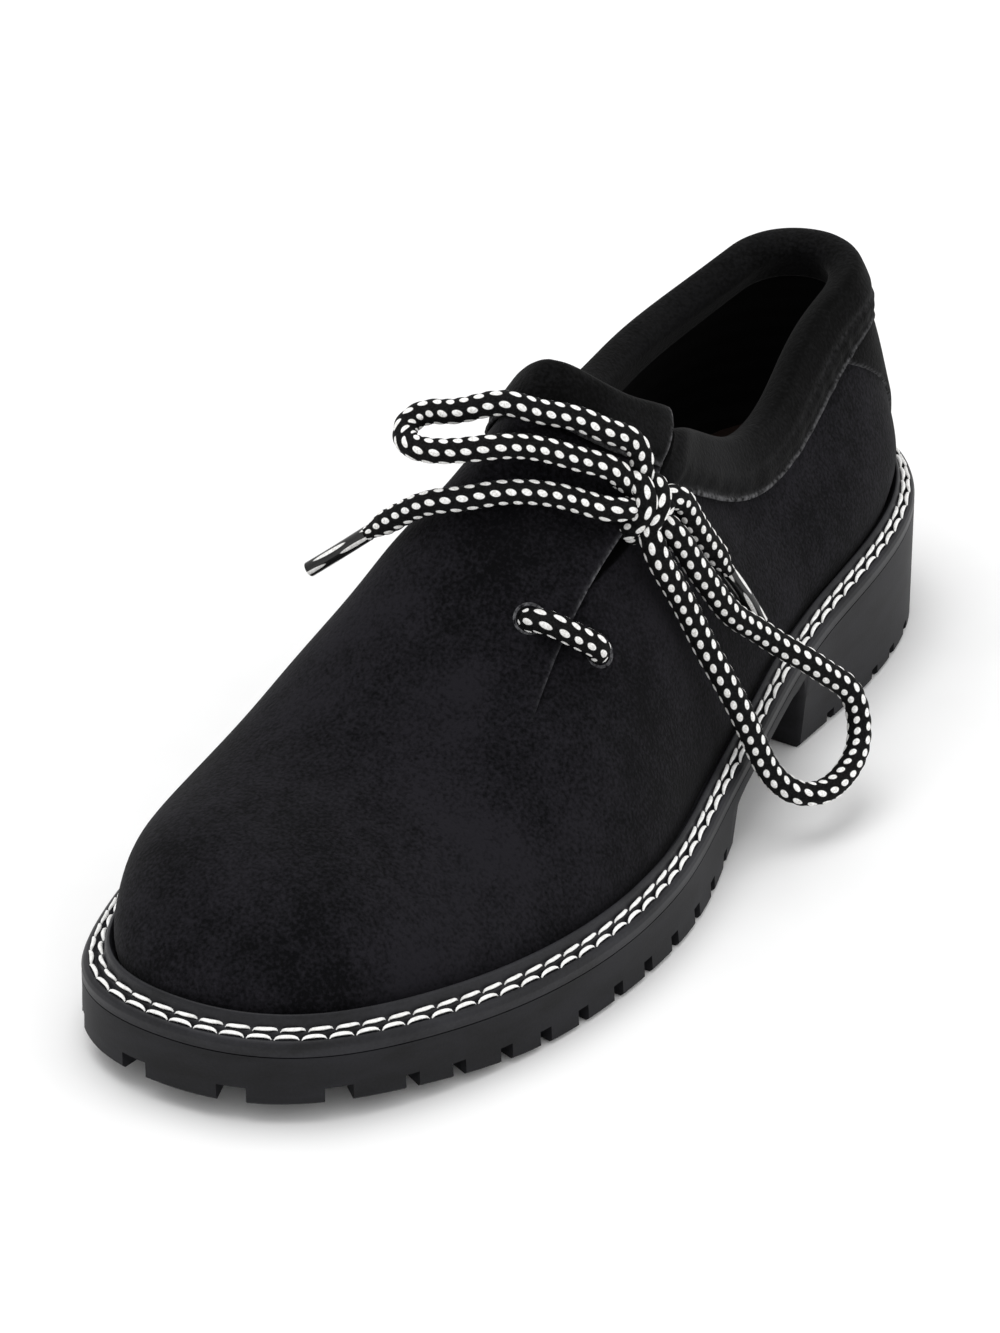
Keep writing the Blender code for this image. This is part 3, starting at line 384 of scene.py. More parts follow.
def add_piece(name, points, faces, material, replaced=(), smooth_angle=60.0):
    """A solid on the root body, shaded smooth up to an angle."""
    piece = solid(name, points, faces)
    piece.data.materials.append(material)
    piece.data.shade_smooth()
    piece.data.set_sharp_from_angle(angle=math.radians(smooth_angle))
    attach(piece, "root")
    if replaced:
        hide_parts(*replaced)
    return piece


def set_value(piece, name, values):
    """Stores one number for each vertex under a name that a material can read."""
    layer = piece.data.attributes.new(name, "FLOAT", "POINT")
    layer.data.foreach_set("value", np.asarray(values, float).ravel())


print("mesh helpers ready")

# %% [markdown]
# A cord is a circle carried along a smooth curve. The circle's frame leans on one fixed direction,
# square to the plane that the cord mostly lies in, so it never twists. The braid stands out a
# little at each oval and sinks between them, which gives the cord its knobbly outline.


# %% The tube of a lace
AROUND = 24


def spline(xs, values, at):
    """Natural cubic curve through the values at xs, level past both ends."""
    xs, values = np.asarray(xs, float), np.asarray(values, float)
    step = np.diff(xs)
    slope = np.diff(values) / step
    count = len(xs)
    matrix, right = np.eye(count), np.zeros(count)
    for i in range(1, count - 1):
        matrix[i, i - 1:i + 2] = step[i - 1], 2 * (step[i - 1] + step[i]), step[i]
        right[i] = 6 * (slope[i] - slope[i - 1])
    bend = np.linalg.solve(matrix, right)
    at = np.clip(np.asarray(at, float), xs[0], xs[-1])
    i = np.clip(np.searchsorted(xs, at) - 1, 0, count - 2)
    left = (at - xs[i]) / step[i]
    rest = 1 - left
    curve = (left ** 3 - left) * bend[i + 1] + (rest ** 3 - rest) * bend[i]
    return rest * values[i] + left * values[i + 1] + curve * step[i] ** 2 / 6


def run_of(line):
    """Distance along a line of points, from 0 at its first."""
    return np.concatenate([[0], np.cumsum(np.linalg.norm(np.diff(line, axis=0), axis=1))])


def read_line(line, at):
    """Points of a line at distances along it."""
    run = run_of(line)
    return np.stack([np.interp(at, run, column) for column in line.T], -1)


def even_way(points, step):
    """Points about step apart along the smooth curve through the given ones, and its length."""
    chord = run_of(points)
    fine = np.linspace(0, chord[-1], 2000)
    curve = np.stack([spline(chord, column, fine) for column in points.T], 1)
    length = run_of(curve)[-1]
    return read_line(curve, np.linspace(0, length, max(8, int(length / step)))), length


def tube(name, way, radius, material, replaced=(), start=0.0, relief=0.09, stretch=1.0):
    """Round braid along a way. radius is one number or one for each point of the way.

    A point is way + r (cos a side + sin a up), and r swells by relief at each oval's middle.
    stretch draws the ovals out along the cord.
    """
    ahead = np.gradient(way, axis=0)
    ahead /= np.linalg.norm(ahead, axis=1)[:, None]
    fixed = np.linalg.svd(way - way.mean(0), full_matrices=False)[2][2]
    side = np.cross(ahead, fixed)
    side /= np.linalg.norm(side, axis=1)[:, None]
    up = np.cross(side, ahead)
    length = start + run_of(way)
    turn = np.arange(AROUND) / AROUND
    across = turn[None, :] * LACE_COLUMNS
    along = length[:, None] / OVAL_STEP + 0.5 * (np.floor(across) % 2)
    hump = np.abs(np.sin(math.pi * across)) * np.abs(np.sin(math.pi * along))
    r = np.broadcast_to(radius, len(way))[:, None] * (1 - relief + relief * 1.4 * hump)
    angle = (turn * 2 * math.pi)[None, :, None]
    ring = np.cos(angle) * side[:, None] + np.sin(angle) * up[:, None]
    points = way[:, None] + r[..., None] * ring
    piece = add_piece(name, points, tube_faces(len(way), AROUND), material, replaced, 50.0)
    corner = np.empty(len(piece.data.loops), int)
    piece.data.loops.foreach_get("vertex_index", corner)
    row, column = corner // AROUND, corner % AROUND
    start_of = np.empty(len(piece.data.polygons), int)
    piece.data.polygons.foreach_get("loop_start", start_of)
    sides = np.diff(np.append(start_of, len(corner)))
    widest = np.repeat(np.maximum.reduceat(column, start_of), sides)
    column = np.where((column == 0) & (widest == AROUND - 1), AROUND, column)
    weave = np.stack([column / AROUND * LACE_COLUMNS, length[row] / OVAL_STEP / stretch], 1)
    piece.data.uv_layers.new(name="weave").data.foreach_set("uv", weave.ravel())
    return piece


print("sides of a lace:", AROUND)

# %% [markdown]
# The shoe's own sizes come next, in the same names and tables as the CAD model's, so that every new
# surface lies where the solids are. Shares of a length or a height keep each table short.

# %% Sizes and tables
GAP = 0.3 * MM
SOLE_LENGTH = 300.0 * MM
BALL_WIDTH = 112.5 * MM
HEEL_WIDTH = 77.5 * MM
HEEL_HEIGHT = 37.5 * MM
FORE_THICKNESS = 16.5 * MM
SHANK_HEIGHT = 16.0 * MM
TOE_SPRING = 4.6 * MM
WELT_THICKNESS = 3.7 * MM
WELT_UNDERLAP = 2.6 * MM
TOE_LIP = 4.4 * MM
HEEL_LIP = 3.2 * MM
LIP_WIDTH = 1.2 * MM
TOE_WELT = 7.4 * MM
HEEL_WELT = 6.9 * MM
WALL = 2.0 * MM
INSTEP_HEIGHT = 119.0 * MM
COLLAR_HEIGHT = 86.0 * MM
TOE_BULGE = 1.6 * MM
HEEL_BULGE = 2.5 * MM
BULGE_HEIGHT = 11.0 * MM
FLAP_STEP = 2.0 * MM
FLAP_FADE = 16.0 * MM
BAND_WIDTH = 12.5 * MM
BAND_FACE = 2.4 * MM
BAND_INSIDE = 8.0 * MM
BAND_CLEAR = 0.9 * MM
BAND_SLACK = 1.4 * MM
LACE_DIAMETER = 6.0 * MM
AGLET_DIAMETER = 4.0 * MM
HEEL_ROUND, TOE_ROUND, ROUND_POWER = 0.250, 0.340, 2.16
TOE_CREST_ROUND, HEEL_CREST_ROUND = 0.143, 0.070
FOCUS_HEEL, FOCUS_THROAT = 0.16, 0.42
SPRING_START, SPRING_END = 0.755, 0.975
BEARINGS, RISES = 540, 96


def table(names, rows):
    """Rows of numbers under named columns."""
    return {name: np.array([row[i] for row in rows]) for i, name in enumerate(names.split())}


PLAN = table("along centre heel ball", (
    (0.00, 0.028, 1.14, 0.00), (0.08, 0.020, 1.11, 0.00), (0.16, 0.013, 1.05, 0.00),
    (0.34, -0.032, 0.96, 0.00), (0.42, -0.045, 0.75, 0.19), (0.50, -0.050, 0.40, 0.50),
    (0.60, -0.025, 0.10, 0.86), (0.70, -0.001, 0.00, 0.99), (0.84, 0.029, 0.00, 1.00),
    (0.94, 0.061, 0.00, 1.05), (1.00, 0.089, 0.00, 1.17)))
TOP = table("along heel fore tuck", (
    (0.00, 0.99, 0.00, 0.00), (0.14, 0.91, 0.00, 0.00), (0.27, 0.82, 0.00, 0.03),
    (0.39, 0.47, 0.47, 0.22), (0.52, 0.13, 0.89, 0.00), (0.68, 0.00, 1.02, -0.04),
    (0.85, 0.00, 1.13, -0.04), (1.00, 0.00, 1.32, 0.00)))
TREAD = table("along rise", (
    (0.000, 0.10), (0.040, 0.00), (0.316, 0.00), (0.320, 1.00), (0.370, 0.86), (0.474, 0.48),
    (0.478, 0.06), (0.550, 0.00), (0.755, 0.00), (1.000, 0.00)))
CREST = table("along height lean power", (
    (0.00, 0.990, -0.020, 1.90), (0.12, 0.830, 0.045, 1.76), (0.22, 0.850, 0.110, 1.60),
    (0.32, 0.920, 0.130, 1.50), (0.42, 1.020, 0.085, 1.42), (0.50, 0.940, 0.080, 1.48),
    (0.59, 0.755, 0.100, 1.62), (0.67, 0.550, 0.110, 1.90), (0.74, 0.425, 0.120, 2.00),
    (0.82, 0.390, 0.107, 2.17), (0.90, 0.375, 0.064, 2.26), (1.00, 0.310, 0.010, 2.12)))
RIM = table("along inner outer", (
    (0.00, 1.090, 1.020), (0.08, 1.070, 1.010), (0.15, 0.985, 0.960), (0.22, 0.945, 0.870),
    (0.30, 0.935, 0.860), (0.38, 0.990, 1.020), (0.45, 1.125, 1.215), (0.50, 1.330, 1.450),
    (0.60, 2.150, 2.150)))
SLIT = table("rise along step", (
    (0.42, 0.659, 0.0), (0.55, 0.604, 0.6), (0.73, 0.523, 1.0), (0.88, 0.451, 1.0),
    (1.00, 0.412, 1.0)))
Spot = namedtuple("Spot", "rise along")
FLAP_HOLE = Spot(0.612, 0.610)
QUARTER_HOLE = Spot(0.520, 0.578)
KNOT = Spot(0.805, 0.493)
print("rows in the tables:", [len(t["along"]) for t in (PLAN, TOP, TREAD, CREST, RIM, SLIT)])

# %% [markdown]
# The last itself. Its foot is the outline of the sole drawn in by the welt's width. Its section is
# a superellipse that leans to the inner side. From each bearing round the foot a line climbs the
# section to the rim of the collar, and the grid of these lines is the upper's outer face.


# %% The last
def read(source, name, along):
    """A named column of a table as a smooth curve, at shares of the length."""
    return spline(source["along"], source[name], along)


def ease(value):
    """Smooth step from 0 to 1."""
    value = np.clip(value, 0, 1)
    return value * value * (3 - 2 * value)


def bell(value, width):
    """Bell of height 1: exp(-(value / width)^2)."""
    return np.exp(-(value / width) ** 2)


def heel_to_toe(heel, toe, share, start, length):
    """A size that goes from heel to toe over some length of the shoe, in shares of its length."""
    return heel + (toe - heel) * ease((share - start) / length)


def rounded(distance, radius):
    """Rises from 0 at an end to 1 at radius from it, as a superellipse does."""
    inner = np.clip(1 - distance / radius, 0, 1)
    return (1 - inner ** ROUND_POWER) ** (1 / ROUND_POWER)


def share_of(y):
    """Share of the sole's length at a world y."""
    return y / SOLE_LENGTH + 0.5


def centre_line(y):
    """The middle of the plan at y."""
    return BALL_WIDTH * read(PLAN, "centre", share_of(y))


def half_width(y, inset):
    """Half the width of the outline drawn in by inset, at a world y."""
    share = share_of(y)
    width = HEEL_WIDTH * read(PLAN, "heel", share) + BALL_WIDTH * read(PLAN, "ball", share)
    heel_end = rounded(y + SOLE_LENGTH / 2 - inset, HEEL_ROUND * SOLE_LENGTH - inset)
    toe_end = rounded(SOLE_LENGTH / 2 - inset - y, TOE_ROUND * SOLE_LENGTH - inset)
    return (width / 2 - inset) * heel_end * toe_end


def welt_top(y):
    """Height of the welt's top above the floor."""
    share = share_of(y)
    return HEEL_HEIGHT * read(TOP, "heel", share) + FORE_THICKNESS * read(TOP, "fore", share)


def tread_line(y):
    """Height of the tread above the floor, with the toe spring."""
    share = share_of(y)
    spring = ease((share - SPRING_START) / (SPRING_END - SPRING_START))
    return SHANK_HEIGHT * np.interp(share, TREAD["along"], TREAD["rise"]) + TOE_SPRING * spring


def feather_inset(share):
    """How far the upper's foot stands inside the sole's edge, from heel to toe."""
    return heel_to_toe(HEEL_WELT, TOE_WELT, share, 0.45, 0.45)


def swell_of(share, height):
    """The upper's swell over its foot at a height, a share of BULGE_HEIGHT: h exp(1 - h)."""
    return heel_to_toe(HEEL_BULGE, TOE_BULGE, share, 0.3, 0.6) * height * np.exp(1 - height)


def outline(shares, inset):
    """Closed ring of plan points: up the inner side from heel to toe, back down the outer side."""
    inset = np.broadcast_to(np.asarray(inset, float), shares.shape)
    y = -SOLE_LENGTH / 2 + inset[0] + shares * (SOLE_LENGTH - inset[0] - inset[-1])
    half = half_width(y, inset)
    half[0] = half[-1] = 0
    middle = centre_line(y)
    inner, outer = np.stack([middle + half, y], 1), np.stack([middle - half, y], 1)
    return np.concatenate([inner, outer[-2:0:-1]])


def fine_shares(count):
    """Shares from 0 to 1, close together at both ends."""
    return (1 - np.cos(np.linspace(0, math.pi, count))) / 2


def last_section(x, y):
    """Height of the last above the feather edge over plan points, and its lean inwards."""
    share = share_of(y)
    half = np.maximum(half_width(y, feather_inset(share)), 1e-6)
    across = np.clip(np.abs(x - centre_line(y)) / half, 0, 1)
    power = read(CREST, "power", share)
    tall = INSTEP_HEIGHT * read(CREST, "height", share) - welt_top(y)
    ends = rounded(y + SOLE_LENGTH / 2 - HEEL_WELT, HEEL_CREST_ROUND * SOLE_LENGTH)
    ends = ends * rounded(SOLE_LENGTH / 2 - TOE_WELT - y, TOE_CREST_ROUND * SOLE_LENGTH)
    part = ends * (1 - across ** power) ** (1 / power)
    return tall * part, BALL_WIDTH * read(CREST, "lean", share) * part


def last_grid():
    """The upper's outer face as a grid of BEARINGS by RISES points, with its normals."""
    bearing = np.arange(BEARINGS) / BEARINGS * 2 * math.pi
    share = (1 - np.cos(bearing)) / 2
    order = fine_shares(BEARINGS // 2 + 1)
    foot = outline(order, feather_inset(order))
    focus_y = SOLE_LENGTH * (FOCUS_HEEL + (FOCUS_THROAT - FOCUS_HEEL) * share - 0.5)
    focus = np.stack([centre_line(focus_y), focus_y], 1)
    reach = 1 - np.cos(np.linspace(0, math.pi / 2, 400))
    plan = foot[:, None, :] + reach[None, :, None] * (focus - foot)[:, None, :]
    x, y = plan[..., 0], plan[..., 1]
    rise, lean = last_section(x, y)
    rise[:, 0] = lean[:, 0] = 0
    outward = foot - focus
    outward /= np.linalg.norm(outward, axis=1)[:, None]
    bulge = swell_of(share[:, None], rise / BULGE_HEIGHT)
    path = np.stack([x + lean + bulge * outward[:, :1], y + bulge * outward[:, 1:],
                     welt_top(y) + GAP + rise], 2)
    inner_part = (1 + np.sin(bearing)[:, None]) / 2
    rim_height = COLLAR_HEIGHT * (inner_part * read(RIM, "inner", share_of(y))
                                  + (1 - inner_part) * read(RIM, "outer", share_of(y)))
    above = path[..., 2] - rim_height
    above[:, -1] = np.maximum(above[:, -1], 1e-6)
    crossing = np.maximum(np.argmax(above > 0, axis=1), 1)
    points = np.stack([climb_line(path[i, :k + 1], above[i, k - 1], above[i, k])
                       for i, k in enumerate(crossing)])
    round_way = np.roll(points, -1, 0) - np.roll(points, 1, 0)
    normal = np.cross(round_way, np.gradient(points, axis=1))
    return points, normal / np.linalg.norm(normal, axis=2)[..., None]


def climb_line(line, under, over):
    """One line up the last, ended where it meets the rim and read at even steps of its length."""
    line = line.copy()
    line[-1] = line[-2] + under / (under - over) * (line[-1] - line[-2])
    return read_line(line, np.linspace(0, run_of(line)[-1], RISES))


LAST, NORMAL = last_grid()
CLIMB = np.linalg.norm(np.diff(LAST, axis=1), axis=2).sum(1)
print("last grid", LAST.shape, "highest point in mm", round(LAST[..., 2].max() / MM, 1))

# %% [markdown]
# Three readers make the grid easy to use: a point of the face moved out by some lift, the length of
# the climb at a bearing, and the bearing at which the face passes a given place on the outer side.


# %% Reading the last
def grid_read(grid, bearing, rise):
    """Reads a grid between its points, round the shoe and up it."""
    u = np.mod(bearing / (2 * math.pi), 1) * BEARINGS
    v = np.clip(rise, 0, 1) * (RISES - 1)
    i, j = u.astype(int) % BEARINGS, np.minimum(v.astype(int), RISES - 2)
    u, v = (u - np.floor(u))[..., None], (v - j)[..., None]
    k = (i + 1) % BEARINGS
    low = grid[i, j] * (1 - u) + grid[k, j] * u
    high = grid[i, j + 1] * (1 - u) + grid[k, j + 1] * u
    return low * (1 - v) + high * v


def climb(bearing):
    """Length of the way up from the feather edge to the rim at a bearing."""
    u = np.mod(np.asarray(bearing) / (2 * math.pi), 1) * BEARINGS
    return np.interp(u, np.arange(BEARINGS + 1), np.append(CLIMB, CLIMB[0]))


def out_of(bearing, rise):
    """Unit normal of the upper's outer face."""
    normal = grid_read(NORMAL, bearing, rise)
    return normal / np.linalg.norm(normal, axis=-1)[..., None]


def skin(bearing, rise, lift):
    """Point of the outer face moved out by lift; past a rise of 1 the face goes straight on."""
    bearing, rise, lift = np.broadcast_arrays(bearing, rise, lift)
    ones = np.ones_like(rise)
    ahead = grid_read(LAST, bearing, ones) - grid_read(LAST, bearing, ones * 0.97)
    ahead = ahead / np.linalg.norm(ahead, axis=-1)[..., None]
    past = np.maximum(rise - 1, 0) * climb(bearing)
    return (grid_read(LAST, bearing, rise) + out_of(bearing, rise) * lift[..., None]
            + ahead * past[..., None])


def bearing_at(rise, along):
    """Bearing on the outer side where the face at this rise lies at this share of the length."""
    outer = np.linspace(math.pi * 1.02, math.pi * 1.9, 600)
    y = grid_read(LAST, outer, np.full(outer.shape, rise))[:, 1]
    return float(np.interp(-(along - 0.5) * SOLE_LENGTH, -y, outer))


SLIT_BEARINGS = [bearing_at(rise, along) for rise, along in zip(SLIT["rise"], SLIT["along"])]


def slit_bearing(rise):
    """Bearing of the flap's edge at each rise, smooth from the feather edge to the rim."""
    return spline(SLIT["rise"], SLIT_BEARINGS, np.clip(rise, SLIT["rise"][0], 1))


def flap_step(rise):
    """Share of FLAP_STEP by which the flap's edge stands up at each rise."""
    step = spline(SLIT["rise"], SLIT["step"], np.clip(rise, SLIT["rise"][0], 1))
    return np.where(rise < SLIT["rise"][0], 0, np.clip(step, 0, 1))


def from_slit(bearing, rise):
    """Distance along the face from the flap's edge, positive on the flap."""
    rise = np.minimum(rise, 1)
    edge = slit_bearing(rise)
    there = grid_read(LAST, bearing, rise) - grid_read(LAST, edge, rise)
    return np.linalg.norm(there, axis=-1) * np.where(bearing <= edge + 1e-9, 1, -1)


def flap_lift(bearing, rise):
    """How far the flap stands above the quarter: a step at the slit that fades over the vamp."""
    away = from_slit(bearing, rise)
    return FLAP_STEP * flap_step(rise) * np.where(away >= 0, 1 - ease(away / FLAP_FADE), 0)


print("slit bearings in degrees:", np.degrees(SLIT_BEARINGS).round(0).tolist())

# %% [markdown]
# The lace comes before the leather, because a free cord takes the most room. One lace crosses the
# slit once, through a hole in the flap and a hole in the quarter, and its ends come out above,
# where they are tied in a bow: two loops and two ends. The stops are shares of the shoe's own
# sizes.

# %% The bow's ways
LOOP_INNER = (
    (-0.175, 0.491, 0.875), (-0.138, 0.505, 0.903), (-0.101, 0.514, 0.924),
    (-0.061, 0.524, 0.938), (-0.015, 0.536, 0.951), (0.032, 0.547, 0.966), (0.087, 0.557, 0.954),
    (0.141, 0.563, 0.937), (0.194, 0.568, 0.925), (0.213, 0.580, 0.908), (0.193, 0.592, 0.893),
    (0.140, 0.596, 0.892), (0.085, 0.590, 0.898), (0.021, 0.577, 0.908), (-0.023, 0.560, 0.902),
    (-0.075, 0.543, 0.884), (-0.122, 0.529, 0.862), (-0.160, 0.516, 0.842))
END_INNER = (
    (-0.205, 0.519, 0.765), (-0.190, 0.528, 0.771), (-0.145, 0.538, 0.784), (-0.094, 0.551, 0.803),
    (-0.044, 0.566, 0.815), (0.006, 0.581, 0.816), (0.056, 0.594, 0.807), (0.118, 0.600, 0.790),
    (0.186, 0.600, 0.748), (0.268, 0.601, 0.684))
AGLET_INNER = ((0.274, 0.601, 0.679), (0.340, 0.604, 0.624), (0.404, 0.610, 0.573))
LOOP_OUTER = (
    (-0.258, 0.488, 0.706), (-0.278, 0.479, 0.664), (-0.296, 0.472, 0.618), (-0.318, 0.458, 0.550),
    (-0.342, 0.438, 0.470), (-0.368, 0.415, 0.412), (-0.402, 0.397, 0.362), (-0.440, 0.380, 0.318),
    (-0.473, 0.362, 0.268), (-0.500, 0.350, 0.228), (-0.525, 0.351, 0.176), (-0.548, 0.367, 0.134),
    (-0.558, 0.397, 0.109), (-0.543, 0.427, 0.103), (-0.508, 0.445, 0.120), (-0.474, 0.454, 0.155),
    (-0.448, 0.461, 0.212), (-0.426, 0.469, 0.285), (-0.388, 0.478, 0.378), (-0.346, 0.484, 0.458),
    (-0.312, 0.491, 0.540), (-0.287, 0.500, 0.608), (-0.272, 0.506, 0.650), (-0.257, 0.508, 0.689))
END_OUTER = (
    (-0.239, 0.474, 0.747), (-0.245, 0.460, 0.728), (-0.252, 0.450, 0.686), (-0.266, 0.430, 0.602),
    (-0.284, 0.411, 0.525))
AGLET_OUTER = ((-0.285, 0.408, 0.520), (-0.300, 0.389, 0.440), (-0.316, 0.374, 0.366))


def way_of(stops):
    """World points of a table of stops: out, along and up, as shares of the shoe's sizes."""
    return (np.array(stops) - [0, 0.5, 0]) * [BALL_WIDTH, SOLE_LENGTH, INSTEP_HEIGHT]


print("a loop's stops:", len(LOOP_INNER), "and", len(LOOP_OUTER))

# %% [markdown]
# All four strands meet under the knot, where the pull of the bow squeezes them thinner. So each way
# is led on from its first stop to the knot's heart, a few millimetres above the flap.

# %% The knot's heart
HEART_LIFT = 2.9 * MM
SQUEEZE, SQUEEZE_LENGTH = 0.74, 11.0 * MM
knot_bearing = bearing_at(KNOT.rise, KNOT.along)
knot_foot = skin(knot_bearing, KNOT.rise, FLAP_STEP + GAP)
knot_out = out_of(knot_bearing, KNOT.rise)
knot_down = skin(knot_bearing, KNOT.rise - 0.05, 0.0) - skin(knot_bearing, KNOT.rise + 0.05, 0.0)
knot_down -= knot_out * np.dot(knot_down, knot_out)
knot_down /= np.linalg.norm(knot_down)
knot_side = np.cross(knot_out, knot_down)
heart = knot_foot + knot_out * HEART_LIFT


def to_heart(way, *ends):
    """Adds the heart before a way, after it, or both."""
    return np.concatenate([[heart]] * ("start" in ends) + [way] + [[heart]] * ("stop" in ends))


def squeezed(way):
    """The lace's radius along a way, thinner near the heart."""
    free = ease(np.linalg.norm(way - heart, axis=1) / SQUEEZE_LENGTH)
    return LACE_DIAMETER / 2 * (SQUEEZE + (1 - SQUEEZE) * free)


print("the heart is at", (heart / MM).round(1).tolist())

# %% [markdown]
# The two loops: one lies over the instep towards the inner side, one hangs down the outer side past
# the sole's edge. Both are closed cords that start and end in the knot.

# %% The loops
TUBE_STEP = 0.45 * MM
for side, stops in (("inner", LOOP_INNER), ("outer", LOOP_OUTER)):
    way, length = even_way(to_heart(way_of(stops), "start", "stop"), TUBE_STEP)
    loop = tube("loop_" + side, way, squeezed(way), lace_braid, ("lace_loop_" + side,))
    print(loop.name, "is", round(length / MM, 1), "mm long")

# %% [markdown]
# Each end finishes in an aglet: the braid is squeezed thinner and wrapped in clear film, so that it
# passes the holes. The braid tapers into it over its last few millimetres.

# %% The ends and their tips
TAPER = 7.0 * MM
FILM = 0.12 * MM
TIP_SHARE = 0.86
TIP_STRETCH = 4.5

for side, stops, tip_stops in (("inner", END_INNER, AGLET_INNER),
                               ("outer", END_OUTER, AGLET_OUTER)):
    way, length = even_way(to_heart(way_of(stops + tip_stops[1:]), "start"), TUBE_STEP)
    tip_length = run_of(way_of(tip_stops))[-1]
    from_tip = np.linspace(length, 0, len(way)) - tip_length
    thin = AGLET_DIAMETER / 2 * TIP_SHARE
    radius = thin + (squeezed(way) - thin) * ease(from_tip / TAPER)
    tipped = from_tip <= 0
    end = tube("end_" + side, way[:-2], radius[:-2], lace_braid, ("lace_end_" + side,))
    tip = tube("tip_" + side, way[tipped], radius[tipped] + FILM, tip_film,
               ("aglet_" + side,), start=length - tip_length, relief=0.0, stretch=TIP_STRETCH)
    print(end.name, "is", round(length / MM, 1), "mm with its tip of", round(tip_length / MM, 1),
          "mm")

# %% [markdown]
# The knot is what a tied bow shows on top: the lace wrapped over the crossing of the loops. Three
# short arches of the same braid stand across the strands, close together and each turned its own
# way.

# %% The knot
def arch(span, height, turn, shift):
    """Half an ellipse on the knot's foot: span long, height tall, turned and shifted."""
    angle = np.linspace(-0.1, math.pi + 0.1, 60)[:, None]
    along = knot_down * math.cos(turn) + knot_side * math.sin(turn)
    middle = knot_foot + knot_side * shift
    return middle - along * np.cos(angle) * span / 2 + knot_out * np.sin(angle) * height


Wrap = namedtuple("Wrap", "letter span height turn shift replaced")
WRAPS = (
    Wrap("a", 12.2 * MM, 7.4 * MM, 0.30, -2.7 * MM, ("lace_knot",)),
    Wrap("b", 12.6 * MM, 7.9 * MM, -0.05, 1.3 * MM, ()),
    Wrap("c", 9.6 * MM, 5.0 * MM, -0.62, 5.0 * MM, ()))
WRAP_TIGHT, BAR_TIGHT = 0.93, 0.97
for wrap in WRAPS:
    way, length = even_way(arch(wrap.span, wrap.height, wrap.turn, wrap.shift), TUBE_STEP)
    tube("knot_wrap_" + wrap.letter, way, LACE_DIAMETER / 2 * WRAP_TIGHT, lace_braid,
         wrap.replaced)
print("knot stands at", (knot_foot / MM).round(1).tolist())

# %% [markdown]
# The bar is the lace's one crossing. It rises out of the flap's hole, lies over the flap's edge,
# and dives into the quarter's hole.

# %% The bar
flap_bearing = bearing_at(FLAP_HOLE.rise, FLAP_HOLE.along)
quarter_bearing = bearing_at(QUARTER_HOLE.rise, QUARTER_HOLE.along)
bar_part = np.array([-0.02, 0.02, 0.12, 0.3, 0.5, 0.7, 0.88, 0.98, 1.02])
bar_lift = np.array([-3.0, -0.6, 2.9, 4.6, 4.4, 3.8, 2.6, -0.6, -3.0]) * MM
bar_points = skin(flap_bearing + (quarter_bearing - flap_bearing) * bar_part,
                  FLAP_HOLE.rise + (QUARTER_HOLE.rise - FLAP_HOLE.rise) * bar_part, bar_lift)
bar_way, bar_length = even_way(bar_points, TUBE_STEP)
tube("bar", bar_way, LACE_DIAMETER / 2 * BAR_TIGHT, lace_braid, ("lace_bar",))
print("the bar is", round(bar_length / MM, 1), "mm long")

# %% [markdown]
# The upper. Its outer face is the last, with the flap's step, a soft funnel at each lace hole and
# what the leather takes with wear: six soft folds on both sides of the instep, and low swells all
# over. The inner face lies a wall's thickness inside and carries the lining.

# %% Soft folds
FOOT_FADE, SWELL = 0.12, 0.12 * MM
Fold = namedtuple("Fold", "start stop width depth")
FOLDS = (
    Fold((math.pi * 1.22, 0.42), (math.pi * 1.38, 0.62), 7.0 * MM, -0.5 * MM),
    Fold((math.pi * 1.50, 0.70), (math.pi * 1.70, 0.55), 9.0 * MM, -0.6 * MM),
    Fold((math.pi * 1.45, 0.52), (math.pi * 1.62, 0.42), 10.0 * MM, 0.5 * MM),
    Fold((math.pi * 0.52, 0.50), (math.pi * 0.64, 0.78), 9.0 * MM, -0.6 * MM),
    Fold((math.pi * 0.34, 0.62), (math.pi * 0.50, 0.60), 11.0 * MM, -0.5 * MM),
    Fold((math.pi * 0.74, 0.70), (math.pi * 0.86, 0.92), 10.0 * MM, 0.5 * MM),
)


def fold_lift(points):
    """Sum of the folds: each is a bell across the straight line between its two ends."""
    total = np.zeros(points.shape[:-1])
    for fold in FOLDS:
        start, stop = skin(*fold.start, 0.0), skin(*fold.stop, 0.0)
        line = stop - start
        part = np.clip((points - start) @ line / (line @ line), 0, 1)
        away = np.linalg.norm(points - start - part[..., None] * line, axis=-1)
        total += fold.depth * bell(away, fold.width)
    return total


def slack(points):
    """Very low swells of the leather, some 35 mm apart: a sum of three slow waves."""
    x, y, z = points[..., 0], points[..., 1], points[..., 2]
    waves = (np.sin(170 * x + 90 * y) + np.sin(150 * y - 120 * z + 1.0)
             + np.sin(190 * z + 110 * x + 2.0))
    return SWELL * waves


def soft_lift(points, rise):
    """Folds and swells together, which fade out over the foot of the upper."""
    return (fold_lift(points) + slack(points)) * ease(rise / FOOT_FADE)


HOLES = np.stack([skin(flap_bearing, FLAP_HOLE.rise, 0.0),
                  skin(quarter_bearing, QUARTER_HOLE.rise, 0.0)])
print("lace holes at", (HOLES / MM).round(1).tolist())
